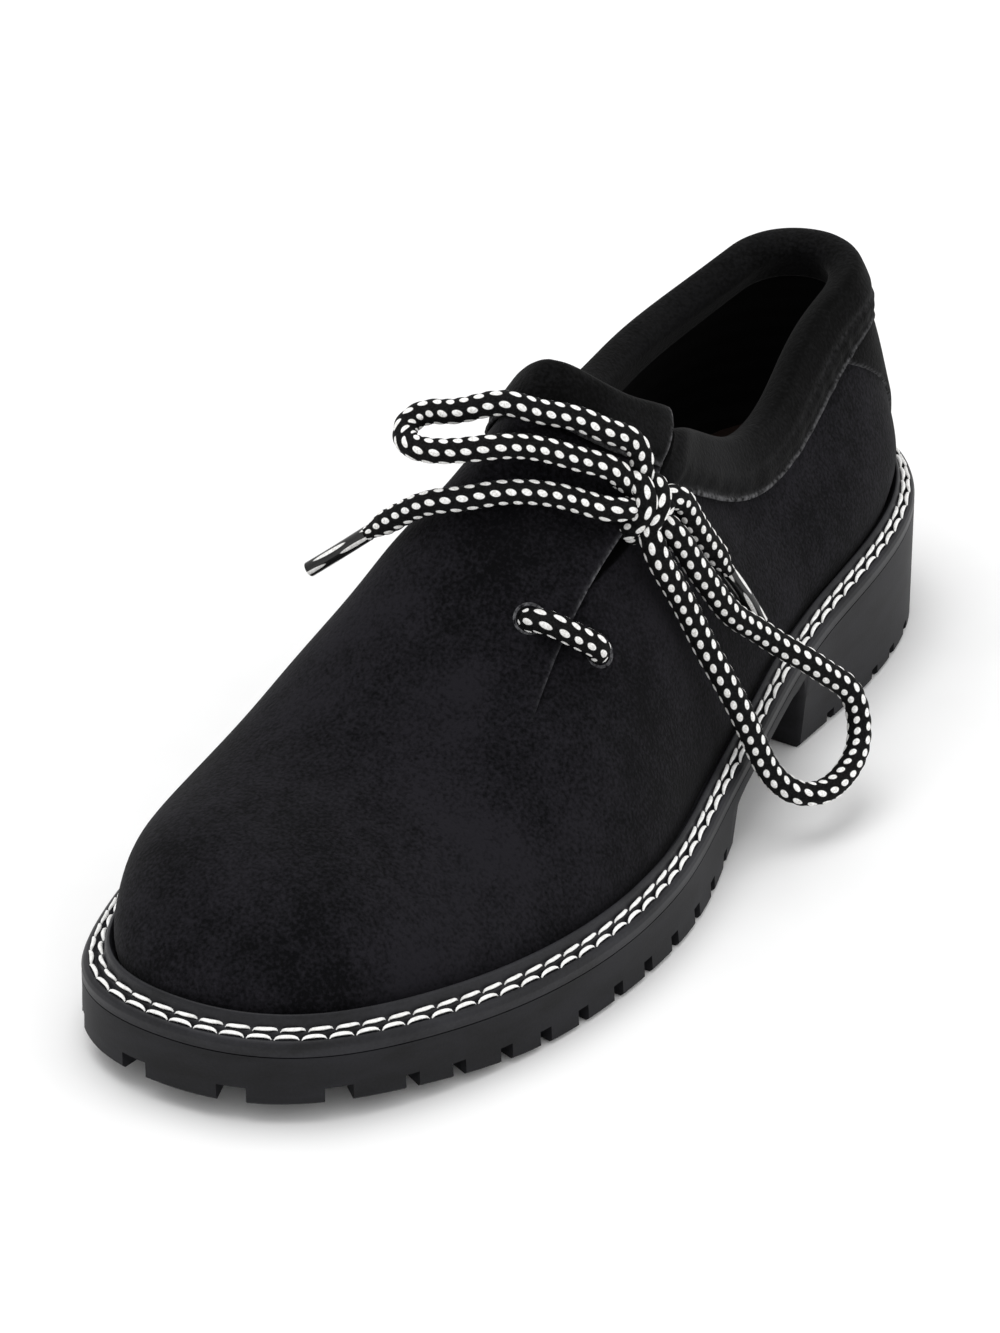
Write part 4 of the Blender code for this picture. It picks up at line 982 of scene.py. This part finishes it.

# %% [markdown]
# The grid of the upper has one column on the slit and doubles it there, so that the flap's edge is
# a clean step. Near the knot the flap gapes a little and the quarter sinks; the shade under the
# flap's edge is painted black onto the quarter as a painted shadow.

# %% The upper
UPPER_COLUMNS, UPPER_ROWS, LINING_ROWS = 470, 118, 30
HOLE_RADIUS, FUNNEL_DEPTH = 3.5 * MM, 2.4 * MM
FUNNEL_RING, FUNNEL_LIP = 4.4 * MM, 0.3 * MM
GAPE_START, GAPE_GROW, GAPE_STOP, GAPE_SHRINK = 0.60, 0.14, 0.84, 0.08
# The third of these widths is how far the painted shadow reaches under the gaping flap.
GAPE_LIFT, GAPE_REACH, PAINTED_SHADOW_WIDTH = 1.0 * MM, 9.0 * MM, 7.5 * MM
UNDER_EDGE, UNDER_GAPE = 1.0 * MM, 1.5 * MM
EDGE_WEAR, SEAM_WEAR, SEAM_INSET, SEAM_START = 0.9, 0.35, 4.5 * MM, 0.82


def upper_bearings(rises):
    """Even bearings, bent near the slit so that one follows it, which is doubled for a step."""
    even = np.arange(UPPER_COLUMNS) / UPPER_COLUMNS * 2 * math.pi
    home = slit_bearing(np.array([0.8]))[0]
    index = int(np.argmin(np.abs(even - home)))
    even = even + home - even[index]
    spread = bell(even - home, 0.55)
    grid = even[:, None] + spread[:, None] * (slit_bearing(rises) - home)[None, :]
    return np.insert(grid, index + 1, grid[index] + 0.002, axis=0), index


outer_rises = np.linspace(0, 1, UPPER_ROWS)
outer_bearing, slit_column = upper_bearings(outer_rises)
outer_rise = np.broadcast_to(outer_rises, outer_bearing.shape)
bare_face = skin(outer_bearing, outer_rise, 0.0)
away = from_slit(outer_bearing, outer_rise)
gaping = (ease((outer_rise - GAPE_START) / GAPE_GROW)
          * (1 - ease((outer_rise - GAPE_STOP) / GAPE_SHRINK)))
step_up = flap_lift(outer_bearing, outer_rise) + GAPE_LIFT * gaping * (1 - ease(away / GAPE_REACH))
sunk = -UNDER_EDGE * flap_step(outer_rise) * bell(away, 1.5 * MM)
sunk = sunk - UNDER_GAPE * gaping * bell(away, 3.0 * MM)
step_up[slit_column + 1:] = sunk[slit_column + 1:]
hole_gap = np.linalg.norm(bare_face[..., None, :] - HOLES, axis=-1)
funnel = (-FUNNEL_DEPTH * (1 - ease(hole_gap / HOLE_RADIUS))
          + FUNNEL_LIP * bell(hole_gap - FUNNEL_RING, 1.0 * MM)).sum(-1)
lift = step_up + soft_lift(bare_face, outer_rise) + funnel
outer_face = skin(outer_bearing, outer_rise, lift)
inner_rises = np.linspace(1, 0, LINING_ROWS)
inner_bearing, _ = upper_bearings(inner_rises)
inner_face = skin(inner_bearing, np.broadcast_to(inner_rises, inner_bearing.shape), -WALL)
inner_face[:, -1, 2] = outer_face[:, 0, 2]
upper_grid = np.concatenate([outer_face, inner_face], 1)
quads = grid_faces(*upper_grid.shape[:2], True, True)
upper_suede = suede("black napped suede", "#09090b", "#1d1c20", "#68686b", HOLES)
upper = add_piece("upper_shell", upper_grid, quads, upper_suede, ("upper",))
upper.data.materials.append(lining_cloth)
lined = quads[:, 0] % upper_grid.shape[1] >= UPPER_ROWS
upper.data.polygons.foreach_set("material_index", lined.astype(int))
on_flap = np.arange(len(away))[:, None] <= slit_column
worn = EDGE_WEAR * bell(away, 0.6 * MM) * flap_step(outer_rise)
worn = worn + SEAM_WEAR * bell(away - SEAM_INSET, 0.5 * MM) * ease((outer_rise - SEAM_START) / 0.05)
# Painted shadow: the quarter is painted black just under the flap's edge, over a wider band where
# the flap gapes.
painted_shadow = 1 - ease((1.0 * MM - away - PAINTED_SHADOW_WIDTH * gaping) / (1.0 * MM))
for name, values in (("worn", np.clip(worn * on_flap, 0, 1)), ("painted_shadow", np.where(on_flap, 0, painted_shadow))):
    both_faces = np.zeros(upper_grid.shape[:2])
    both_faces[:, :UPPER_ROWS] = values
    set_value(upper, name, both_faces)
print("upper faces:", len(upper.data.polygons))

# %% [markdown]
# The collar is a strip of suede padded with foam, folded over the rim and sewn down outside. Its
# section is a soft hook: down the outer side, round over the top, and down inside.

# %% The collar
BAND_COLUMNS, BAND_POINTS = 480, 72
BAND_STOP = 0.012
CORNER_UP, CORNER_DOWN = 2.0 * MM, 2.8 * MM
SLIM_SHARE = 0.42
PUCKER, CREASE_DEPTH, TUCK_DEPTH = 0.16 * MM, 0.45 * MM, 1.6 * MM


def band_profile(points):
    """Closed section of the cuff, rounded once: distance below the rim, and lift off the face."""
    out = BAND_CLEAR + BAND_FACE
    into = -(WALL + BAND_SLACK + BAND_FACE)
    angle = np.linspace(0, math.pi, 9)
    crown = np.stack([-BAND_CLEAR - BAND_FACE * np.sin(angle),
                      (np.cos(angle) / 2 + 0.5) * (out - into) + into], 1)
    leg = np.array([(BAND_WIDTH, BAND_CLEAR + 0.2 * MM), (BAND_WIDTH + 0.2 * MM, out * 0.50),
                    (BAND_WIDTH - 0.5 * MM, out * 0.68), (BAND_WIDTH - 1.4 * MM, out * 0.46),
                    (BAND_WIDTH - 2.3 * MM, out * 0.62), (BAND_WIDTH - 3.8 * MM, out * 0.92),
                    (BAND_WIDTH * 0.45, out + 0.1 * MM), (BAND_WIDTH * 0.22, out + 0.1 * MM)])
    inside = np.array([(BAND_INSIDE * 0.3, into - 0.1 * MM), (BAND_INSIDE * 0.75, into),
                       (BAND_INSIDE, into + 0.7 * MM), (BAND_INSIDE, into + BAND_FACE - 0.4 * MM),
                       (BAND_INSIDE * 0.5, into + BAND_FACE),
                       (-BAND_CLEAR * 0.8, into + BAND_FACE + 0.2 * MM),
                       (-BAND_CLEAR * 0.8, BAND_CLEAR - 0.2 * MM), (BAND_WIDTH * 0.5, BAND_CLEAR)])
    loop = np.concatenate([leg, crown, inside, leg[:1]])
    profile = read_line(loop, np.linspace(0, run_of(loop)[-1], points, endpoint=False))
    return profile * 0.5 + (np.roll(profile, 1, 0) + np.roll(profile, -1, 0)) * 0.25


band_section = band_profile(BAND_POINTS)
home = slit_bearing(np.array([1.0]))[0]
around = np.linspace(home + BAND_STOP - 2 * math.pi, home - BAND_STOP, BAND_COLUMNS)
corner = (CORNER_UP * bell(around[-1] - around, 0.28)
          - CORNER_DOWN * bell(around - around[0], 0.14))
slim = 1 - SLIM_SHARE * ease((around - home + 1.0) / 0.5)
below, lift = band_section[None, :, 0] - corner[:, None], band_section[None, :, 1]
lift = np.where(lift > 0, lift * slim[:, None], lift)
rise = 1 - below / climb(around)[:, None]
shift = slit_bearing(np.clip(rise, 0, 1)) - home
near = sum(bell(around - home + turn, 0.35) for turn in (0, 2 * math.pi))
bearing = around[:, None] + shift * near[:, None]
extra = np.where(lift > 0, flap_lift(bearing, np.minimum(rise, 1)), 0)
gather = np.sin(around * 83) + 0.6 * np.sin(around * 51 + 1.0)
pucker = PUCKER * gather[:, None] * bell(below - BAND_WIDTH + 2.2 * MM, 2.6 * MM) * (lift > 0)
to_heel = bell(around + 0.35, 0.75)[:, None]
crease = to_heel * bell(below - BAND_WIDTH + 6.0 * MM, 0.9 * MM) * (lift > 0)
pucker = pucker - CREASE_DEPTH * crease
tuck_in = TUCK_DEPTH * bell(around - around[0], 0.05)[:, None] * (lift > 0)
band_grid = skin(bearing, rise, lift + extra + pucker - tuck_in)
collar = add_piece("collar_cuff", band_grid, tube_faces(BAND_COLUMNS, BAND_POINTS), collar_suede,
                   ("collar_band",))
strong = (0.55 + 0.45 * bell(around - around[0] - 0.4, 0.6))[:, None]
seam = strong * bell(below + corner[:, None] - BAND_WIDTH + 0.5 * MM, 0.6 * MM) * (lift > 0)
seam = seam + 0.15 * crease
seam = seam + 0.5 * bell(below - BAND_INSIDE + 0.3 * MM, 0.5 * MM) * (lift < -WALL)
end_gap = (around[-1] - around)[:, None] * 0.06
seam = np.broadcast_to(seam, rise.shape) + 0.9 * bell(end_gap, 0.6 * MM) * (lift > -WALL)
set_value(collar, "worn", np.clip(seam, 0, 1))
print("collar faces:", len(collar.data.polygons))

# %% [markdown]
# The counter is a piece of suede laid over the back seam. It is a thin patch whose border thins out
# to the upper, and its cut edge shows as a paler line.

# %% The heel counter
COUNTER_TOP, COUNTER_FOOT = 42.0 * MM, 20.0 * MM
COUNTER_ROWS, COUNTER_COLUMNS = 60, 90
COUNTER_RIM, COUNTER_THICK, COUNTER_SUNK = 0.15 * MM, 0.95 * MM, 0.5 * MM


def girth_to_bearing(girth, rise):
    """Bearings at distances round the heel from its back, positive on the inner side."""
    bearing = np.linspace(-1.4, 1.4, 281)
    line = grid_read(LAST, bearing, np.full(bearing.shape, rise))
    length = run_of(line)
    return np.interp(girth, length - np.interp(0, bearing, length), bearing)


part = np.linspace(0, 1, COUNTER_ROWS)[:, None]
across = np.linspace(-1, 1, COUNTER_COLUMNS)[None, :]
half_girth = COUNTER_FOOT + (COUNTER_TOP - COUNTER_FOOT) * part ** 1.6
girth = across * half_girth
bearing = np.stack([girth_to_bearing(girth[k], part[k, 0] * 0.6) for k in range(COUNTER_ROWS)])
top = 1 - (BAND_WIDTH - 1.0 * MM) / climb(bearing)
low = 2.4 * MM / climb(bearing)
rise = low + (top - low) * part
side_gap = (1 - np.abs(across)) * half_girth
thick = COUNTER_RIM + COUNTER_THICK * ease(side_gap / (0.9 * MM))
base = soft_lift(skin(bearing, rise, 0.0), rise)
outer = skin(bearing, rise, base + thick)
inner = skin(bearing, rise, base - COUNTER_SUNK)
counter_grid = np.concatenate([outer, inner[:, ::-1]], 1)
counter = add_piece("counter_patch", counter_grid, tube_faces(COUNTER_ROWS, 2 * COUNTER_COLUMNS),
                    collar_suede, ("heel_counter",))
stitched = 0.55 * bell(side_gap, 0.7 * MM)
set_value(counter, "worn", np.concatenate([stitched, stitched[:, ::-1]], 1))
print("counter faces:", len(counter.data.polygons))

# %% [markdown]
# A storm welt is a strip of rubber sewn round the foot of the upper. Its flat part carries two rows
# of stitches with a groove between them, and its inner edge turns up against the leather to keep
# water out. The same section is carried round the whole outline.

# %% The welt
WELT_SHARES, WELT_SHOWN, WELT_POINTS = 300, 17, 60
ROW_OUTER, ROW_INNER = 0.35, 0.87


def lip_heights(shares):
    """The storm lip's height from heel to toe."""
    return heel_to_toe(HEEL_LIP, TOE_LIP, shares, 0.45, 0.45)


def lip_back(shares):
    """Inset of the lip's back, which follows the upper's swell at the lip's own height."""
    height = heel_to_toe(HEEL_LIP, TOE_LIP, shares, 0.3, 0.6) / BULGE_HEIGHT
    return feather_inset(shares) - swell_of(shares, height) - GAP * 1.5


def row_inset(shares, row):
    """Inset of a row of stitches, as a share of the flat part between the edge and the lip."""
    return row * (lip_back(shares) - LIP_WIDTH)


shares = fine_shares(WELT_SHARES)
foot, back, tall = feather_inset(shares), lip_back(shares), lip_heights(shares)
outer_row, inner_row = row_inset(shares, ROW_OUTER), row_inset(shares, ROW_INNER)
nil = foot * 0
control = (
    (nil, nil - WELT_THICKNESS), (nil + 0.05 * MM, nil - 3.0 * MM),
    (nil + 0.02 * MM, nil - 1.6 * MM), (nil + 0.4 * MM, nil - 0.55 * MM),
    (nil + 0.9 * MM, nil - 0.1 * MM), (outer_row - 0.4 * MM, nil),
    (outer_row, nil - 0.15 * MM), (outer_row + 0.55 * MM, nil - 0.05 * MM),
    ((outer_row + inner_row) / 2, nil - 0.6 * MM), (inner_row - 0.6 * MM, nil + 0.5 * MM),
    (inner_row, nil + 0.95 * MM), (inner_row + 0.4 * MM, nil + 1.3 * MM),
    (back - LIP_WIDTH * 0.95, (tall + 1.5 * MM) / 2), (back - LIP_WIDTH * 0.85, tall - 0.6 * MM),
    (back - LIP_WIDTH * 0.55, tall - 0.08 * MM), (back - LIP_WIDTH * 0.2, tall),
    (back, tall - 0.4 * MM),
    (foot - GAP, nil), (foot + WALL + WELT_UNDERLAP, nil),
    (foot + WALL + WELT_UNDERLAP, nil - WELT_THICKNESS))
inset = np.stack([row[0] for row in control])
height = np.stack([row[1] for row in control])
chord = run_of(np.stack([inset[:WELT_SHOWN, 0], height[:WELT_SHOWN, 0]], 1))
at = np.linspace(0, chord[-1], WELT_POINTS)
weights = np.stack([np.interp(at, chord, row) for row in np.eye(WELT_SHOWN)], 1)
inset, height = (np.concatenate([weights @ rows[:WELT_SHOWN], rows[WELT_SHOWN:]])
                 for rows in (inset, height))
rings = []
for ring_inset, ring_height in zip(inset, height):
    plan = outline(shares, ring_inset)
    z = welt_top(plan[:, 1]) + np.concatenate([ring_height, ring_height[-2:0:-1]])
    rings.append(np.column_stack([plan, z]))
welt_grid = np.stack(rings)
welt = add_piece("storm_welt", welt_grid, grid_faces(*welt_grid.shape[:2], True, True),
                 welt_rubber, ("welt",), 40.0)
print("welt faces:", len(welt.data.polygons))

# %% [markdown]
# A lockstitch shows as a short fat arc that dives into the welt at both ends. Two rows run all
# round, about six millimetres to a stitch. Each row is one mesh: one small bent capsule, placed
# many times.

# %% The stitches
STITCH_PITCH, STITCH_ARC, STITCH_DIVE = 6.1 * MM, 0.35 * MM, 0.75 * MM
STITCH_SIDES, STITCH_RINGS = 8, 11
THREAD = 1.0 * MM


def stitch_row(name, row, row_height, bow, slant):
    """Capsules along the outline drawn in to a row, each bowed inwards and slanted.

    Along a stitch t goes from -1 to 1. Its height is an arc, 1 - t^4, that dives at both ends by
    t^8.
    """
    ring = outline(fine_shares(900), row_inset(fine_shares(900), row))
    ring = np.concatenate([ring, ring[:1]])
    length = run_of(ring)[-1]
    count = int(round(length / STITCH_PITCH))
    pitch = length / count
    t = np.linspace(-1, 1, STITCH_RINGS)
    centre = ((np.arange(count) + 0.5) * pitch)[:, None]
    behind, before = (read_line(ring, np.mod(centre + s * MM, length)) for s in (-1, 1))
    ahead = before - behind
    ahead /= np.linalg.norm(ahead, axis=-1)[..., None]
    inward = np.stack([-ahead[..., 1], ahead[..., 0]], -1)
    sideways = bow * (1 - t ** 2) + slant * t
    at = np.mod(centre + t[None, :] * pitch / 2, length)
    plan = read_line(ring, at) + inward * sideways[None, :, None]
    arc = row_height + STITCH_ARC * (1 - t ** 4) - STITCH_DIVE * t ** 8
    z = welt_top(plan[..., 1]) + arc[None, :]
    spine = np.concatenate([plan, z[..., None]], -1)
    radius = THREAD / 2 * np.clip(1 - np.abs(t) ** 2.2, 0.03, 1) ** 0.5
    angle = (np.arange(STITCH_SIDES) / STITCH_SIDES * 2 * math.pi)[None, None, :, None]
    across = np.concatenate([inward, np.zeros(inward.shape[:2] + (1,))], -1)[:, :, None, :]
    ring_points = (spine[:, :, None, :] + radius[None, :, None, None]
                   * (np.cos(angle) * across + 0.85 * np.sin(angle) * np.array([0.0, 0.0, 1.0])))
    offset = np.arange(count)[:, None, None] * STITCH_RINGS * STITCH_SIDES
    faces = []
    for kind in (grid_faces(STITCH_RINGS, STITCH_SIDES, False, True),
                 ends_of(STITCH_RINGS, STITCH_SIDES)):
        faces += (np.array(kind)[None] + offset).reshape(-1, len(kind[0])).tolist()
    add_piece(name, ring_points, faces, thread_white, smooth_angle=50.0)
    print(name, "has", count, "stitches of", round(pitch / MM, 2), "mm")


stitch_row("stitches_outer", ROW_OUTER, 0.18 * MM, bow=0.50 * MM, slant=0.12 * MM)
stitch_row("stitches_inner", ROW_INNER, 1.15 * MM, bow=-0.40 * MM, slant=0.22 * MM)

# %% [markdown]
# The sole's side is carried down from the welt to the tread, and the gaps between the lugs are cut
# with boxes, as a mould's teeth would leave them. A small bevel takes the knife-sharp edges off.

# %% The sole's body
LUG_DEPTH, HEEL_LUG_DEPTH = 4.5 * MM, 3.2 * MM
EDGE_LUG_LENGTH, HEEL_LUG_LENGTH = 17.0 * MM, 13.6 * MM
NOTCH_WIDTH, LUG_PITCH, GROOVE_WIDTH, CROSS_PITCH = 3.4 * MM, 12.5 * MM, 3.0 * MM, 19.0 * MM
SIDE_FACE, TREAD_CHAMFER, SHARP_ANGLE = 3.0 * MM, 0.8 * MM, 35.0
CUTTER_HEIGHT, CUTTER_MARGIN = 30.0 * MM, 4.0 * MM
steps = TREAD["along"][2:-1]
sole_shares = fine_shares(110)
sole_shares = sole_shares[np.abs(sole_shares[:, None] - steps[None]).min(1) > 0.0015]
sole_shares = np.sort(np.concatenate([sole_shares, steps]))
tuck = SHANK_HEIGHT * read(TOP, "tuck", sole_shares)
under = feather_inset(sole_shares) + WALL + WELT_UNDERLAP + GAP
seat = -WELT_THICKNESS - GAP


def lifted(plan, z):
    """Plan points with a height each."""
    return np.column_stack([plan, z])


edge_plan, low_plan, base_plan, under_plan = (
    outline(sole_shares, inset) for inset in (0.0, tuck, tuck + TREAD_CHAMFER, under))
side_top, side_low = welt_top(edge_plan[:, 1]) + seat, tread_line(edge_plan[:, 1])
rings = [lifted(under_plan, welt_top(under_plan[:, 1])),
         lifted(under_plan, welt_top(under_plan[:, 1]) + seat),
         lifted(edge_plan, side_top), lifted(edge_plan, side_top - SIDE_FACE)]
for part in (0.35, 0.7):
    plan = edge_plan + (low_plan - edge_plan) * part
    z = (side_top - SIDE_FACE) * (1 - part) + (side_low + TREAD_CHAMFER) * part
    rings.append(lifted(plan, z))
rings += [lifted(low_plan, side_low + TREAD_CHAMFER), lifted(base_plan, side_low)]
sole_grid = np.stack(rings)
rows, columns = sole_grid.shape[:2]
half = columns // 2


def strip(start):
    """Closes an outline ring straight across, each inner point to the outer point beside it."""
    k = np.arange(1, half - 1)
    bands = np.stack([start + k, start + k + 1,
                      start + columns - k - 1, start + columns - k], 1).tolist()
    return bands + [(start, start + 1, start + columns - 1),
                    (start + half - 1, start + half, start + half + 1)]


sides = grid_faces(rows, columns, False, True).tolist()
sole = add_piece("sole_unit", sole_grid, sides + strip(0) + strip((rows - 1) * columns),
                 sole_rubber, ("outsole",), SHARP_ANGLE)
print("sole columns:", columns)

# %% [markdown]
# Teeth stand where the mould leaves a gap: short ones square to the edge, a lug's pitch apart, long
# ones across the tread, and two rails that follow the edge.

# %% The teeth that cut the lugs
BOX_QUADS = np.array([(0, 3, 2, 1), (4, 5, 6, 7), (0, 1, 5, 4), (1, 2, 6, 5), (2, 3, 7, 6),
                      (3, 0, 4, 7)])


def boxes(name, centres, aheads, lengths, width, tops):
    """Upright boxes: each is lengths long along aheads, width wide, and ends at tops."""
    sides = np.stack([-aheads[:, 1], aheads[:, 0]], 1)
    signs = np.array([(-1, -1), (1, -1), (1, 1), (-1, 1)])
    half_wide = np.broadcast_to(width, len(tops))[:, None, None] / 2
    plan = (centres[:, None] + aheads[:, None] * signs[None, :, :1] * lengths[:, None, None] / 2
            + sides[:, None] * signs[None, :, 1:] * half_wide)
    points = np.concatenate([
        np.concatenate([plan, np.broadcast_to(z[:, None, None], (len(tops), 4, 1))], 2)
        for z in (tops - CUTTER_HEIGHT, tops)], 1)
    faces = (BOX_QUADS[None] + 8 * np.arange(len(tops))[:, None, None]).reshape(-1, 4)
    return cutter(name, points, faces.tolist())


def cutter(name, points, faces):
    """A hidden closed mesh that is taken out of the sole."""
    thing = solid(name, points, faces)
    modifier = sole.modifiers.new(name, "BOOLEAN")
    modifier.object, modifier.operation, modifier.solver = thing, "DIFFERENCE", "EXACT"
    return thing


def toe_part(share):
    """1 at the very toe, where the mould has half as many teeth, each twice as wide."""
    return ease((share - 0.90) / 0.06)


def edge_points(start, stop):
    """Places and inward directions along the sole's edge, a lug's pitch apart."""
    ring = outline(fine_shares(400), 0.0)
    across = np.roll(ring, -1, 0) - np.roll(ring, 1, 0)
    across /= np.linalg.norm(across, axis=1)[:, None]
    share = share_of(ring[:, 1])
    teeth_so_far = np.cumsum(np.diff(run_of(ring), prepend=0) / (LUG_PITCH * (1 + toe_part(share))))
    inside = np.flatnonzero((share >= start) & (share <= stop))
    picks = []
    for run in np.split(inside, np.flatnonzero(np.diff(inside) > 1) + 1):
        span = teeth_so_far[run[-1]] - teeth_so_far[run[0]]
        count = max(2, round(span))
        picks.append(np.searchsorted(teeth_so_far, teeth_so_far[run[0]] + span
                                     * (np.arange(count) + 0.5) / count))
    k = np.concatenate(picks)
    return ring[k], np.stack([-across[k, 1], across[k, 0]], 1)


teeth = []
for start, stop, depth, reach in ((0.485, 1.0, LUG_DEPTH, EDGE_LUG_LENGTH),
                                  (0.0, 0.29, HEEL_LUG_DEPTH, HEEL_LUG_LENGTH)):
    spot, inward = edge_points(start, stop)
    tops = tread_line(spot[:, 1] + inward[:, 1] * reach / 2) + depth
    teeth.append(boxes("notches", spot + inward * (reach / 2 - CUTTER_MARGIN), inward,
                       np.full(len(spot), reach + 2 * CUTTER_MARGIN),
                       NOTCH_WIDTH * (1 + toe_part(share_of(spot[:, 1]))), tops))
for start, stop, depth, reach in ((0.52, 0.90, LUG_DEPTH - 0.5 * MM, EDGE_LUG_LENGTH),
                                  (0.09, 0.27, HEEL_LUG_DEPTH - 0.5 * MM, HEEL_LUG_LENGTH)):
    count = round((stop - start) * SOLE_LENGTH / CROSS_PITCH)
    y = (np.linspace(start, stop, count + 1) - 0.5) * SOLE_LENGTH
    teeth.append(boxes("cross_teeth", np.stack([centre_line(y), y], 1),
                       np.tile([1.0, 0.0], (len(y), 1)), 2 * half_width(y, reach) + GROOVE_WIDTH,
                       GROOVE_WIDTH, tread_line(y) + depth))
for start, stop, depth, reach in ((0.47, 1.0, LUG_DEPTH + 0.4 * MM, EDGE_LUG_LENGTH),
                                  (0.0, 0.33, HEEL_LUG_DEPTH + 0.4 * MM, HEEL_LUG_LENGTH)):
    loops_two = [outline(fine_shares(90), reach), outline(fine_shares(90), reach + GROOVE_WIDTH)]
    share = share_of(loops_two[0][:, 1])
    keep = np.flatnonzero((share >= start) & (share <= stop))
    gap = np.flatnonzero(np.diff(keep) > 1)
    keep = np.concatenate([keep[gap[0] + 1:], keep[:gap[0] + 1]]) if len(gap) else keep
    top = tread_line(loops_two[0][keep, 1]) + depth
    rail = np.stack([lifted(loops_two[a][keep], top - CUTTER_HEIGHT * down)
                     for a, down in ((0, 1), (0, 0), (1, 0), (1, 1))], 1)
    teeth.append(cutter("rails", rail, tube_faces(len(keep), 4)))
print("cutters:", len(teeth))

# %% [markdown]
# The cuts are made for good here, so that no hidden cutter is left behind, and the edges get their
# small bevel.

# %% Cutting and bevelling
EDGE_BEVEL = 0.35 * MM
graph = bpy.context.evaluated_depsgraph_get()
cut_mesh = bpy.data.meshes.new_from_object(sole.evaluated_get(graph))
sole.modifiers.clear()
sole.data = cut_mesh
for thing in teeth:
    bpy.data.objects.remove(thing, do_unlink=True)
work = bmesh.new()
work.from_mesh(cut_mesh)
bmesh.ops.remove_doubles(work, verts=work.verts, dist=0.01 * MM)
bmesh.ops.dissolve_limit(work, angle_limit=math.radians(1.0), verts=work.verts, edges=work.edges)
work.to_mesh(cut_mesh)
work.free()
bevel = sole.modifiers.new("edges", "BEVEL")
bevel.width, bevel.segments = EDGE_BEVEL, 2
bevel.limit_method, bevel.angle_limit = "ANGLE", math.radians(SHARP_ANGLE)
cut_mesh.shade_smooth()
cut_mesh.set_sharp_from_angle(angle=math.radians(SHARP_ANGLE))
print("sole faces:", len(cut_mesh.polygons))

# %% [markdown]
# The insole keeps its CAD solid and only gets its leather.

# %% The insole
insole_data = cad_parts["insole"].data
insole_data.materials.clear()
insole_data.materials.append(insole_leather)
print("insole slots:", len(insole_data.materials))
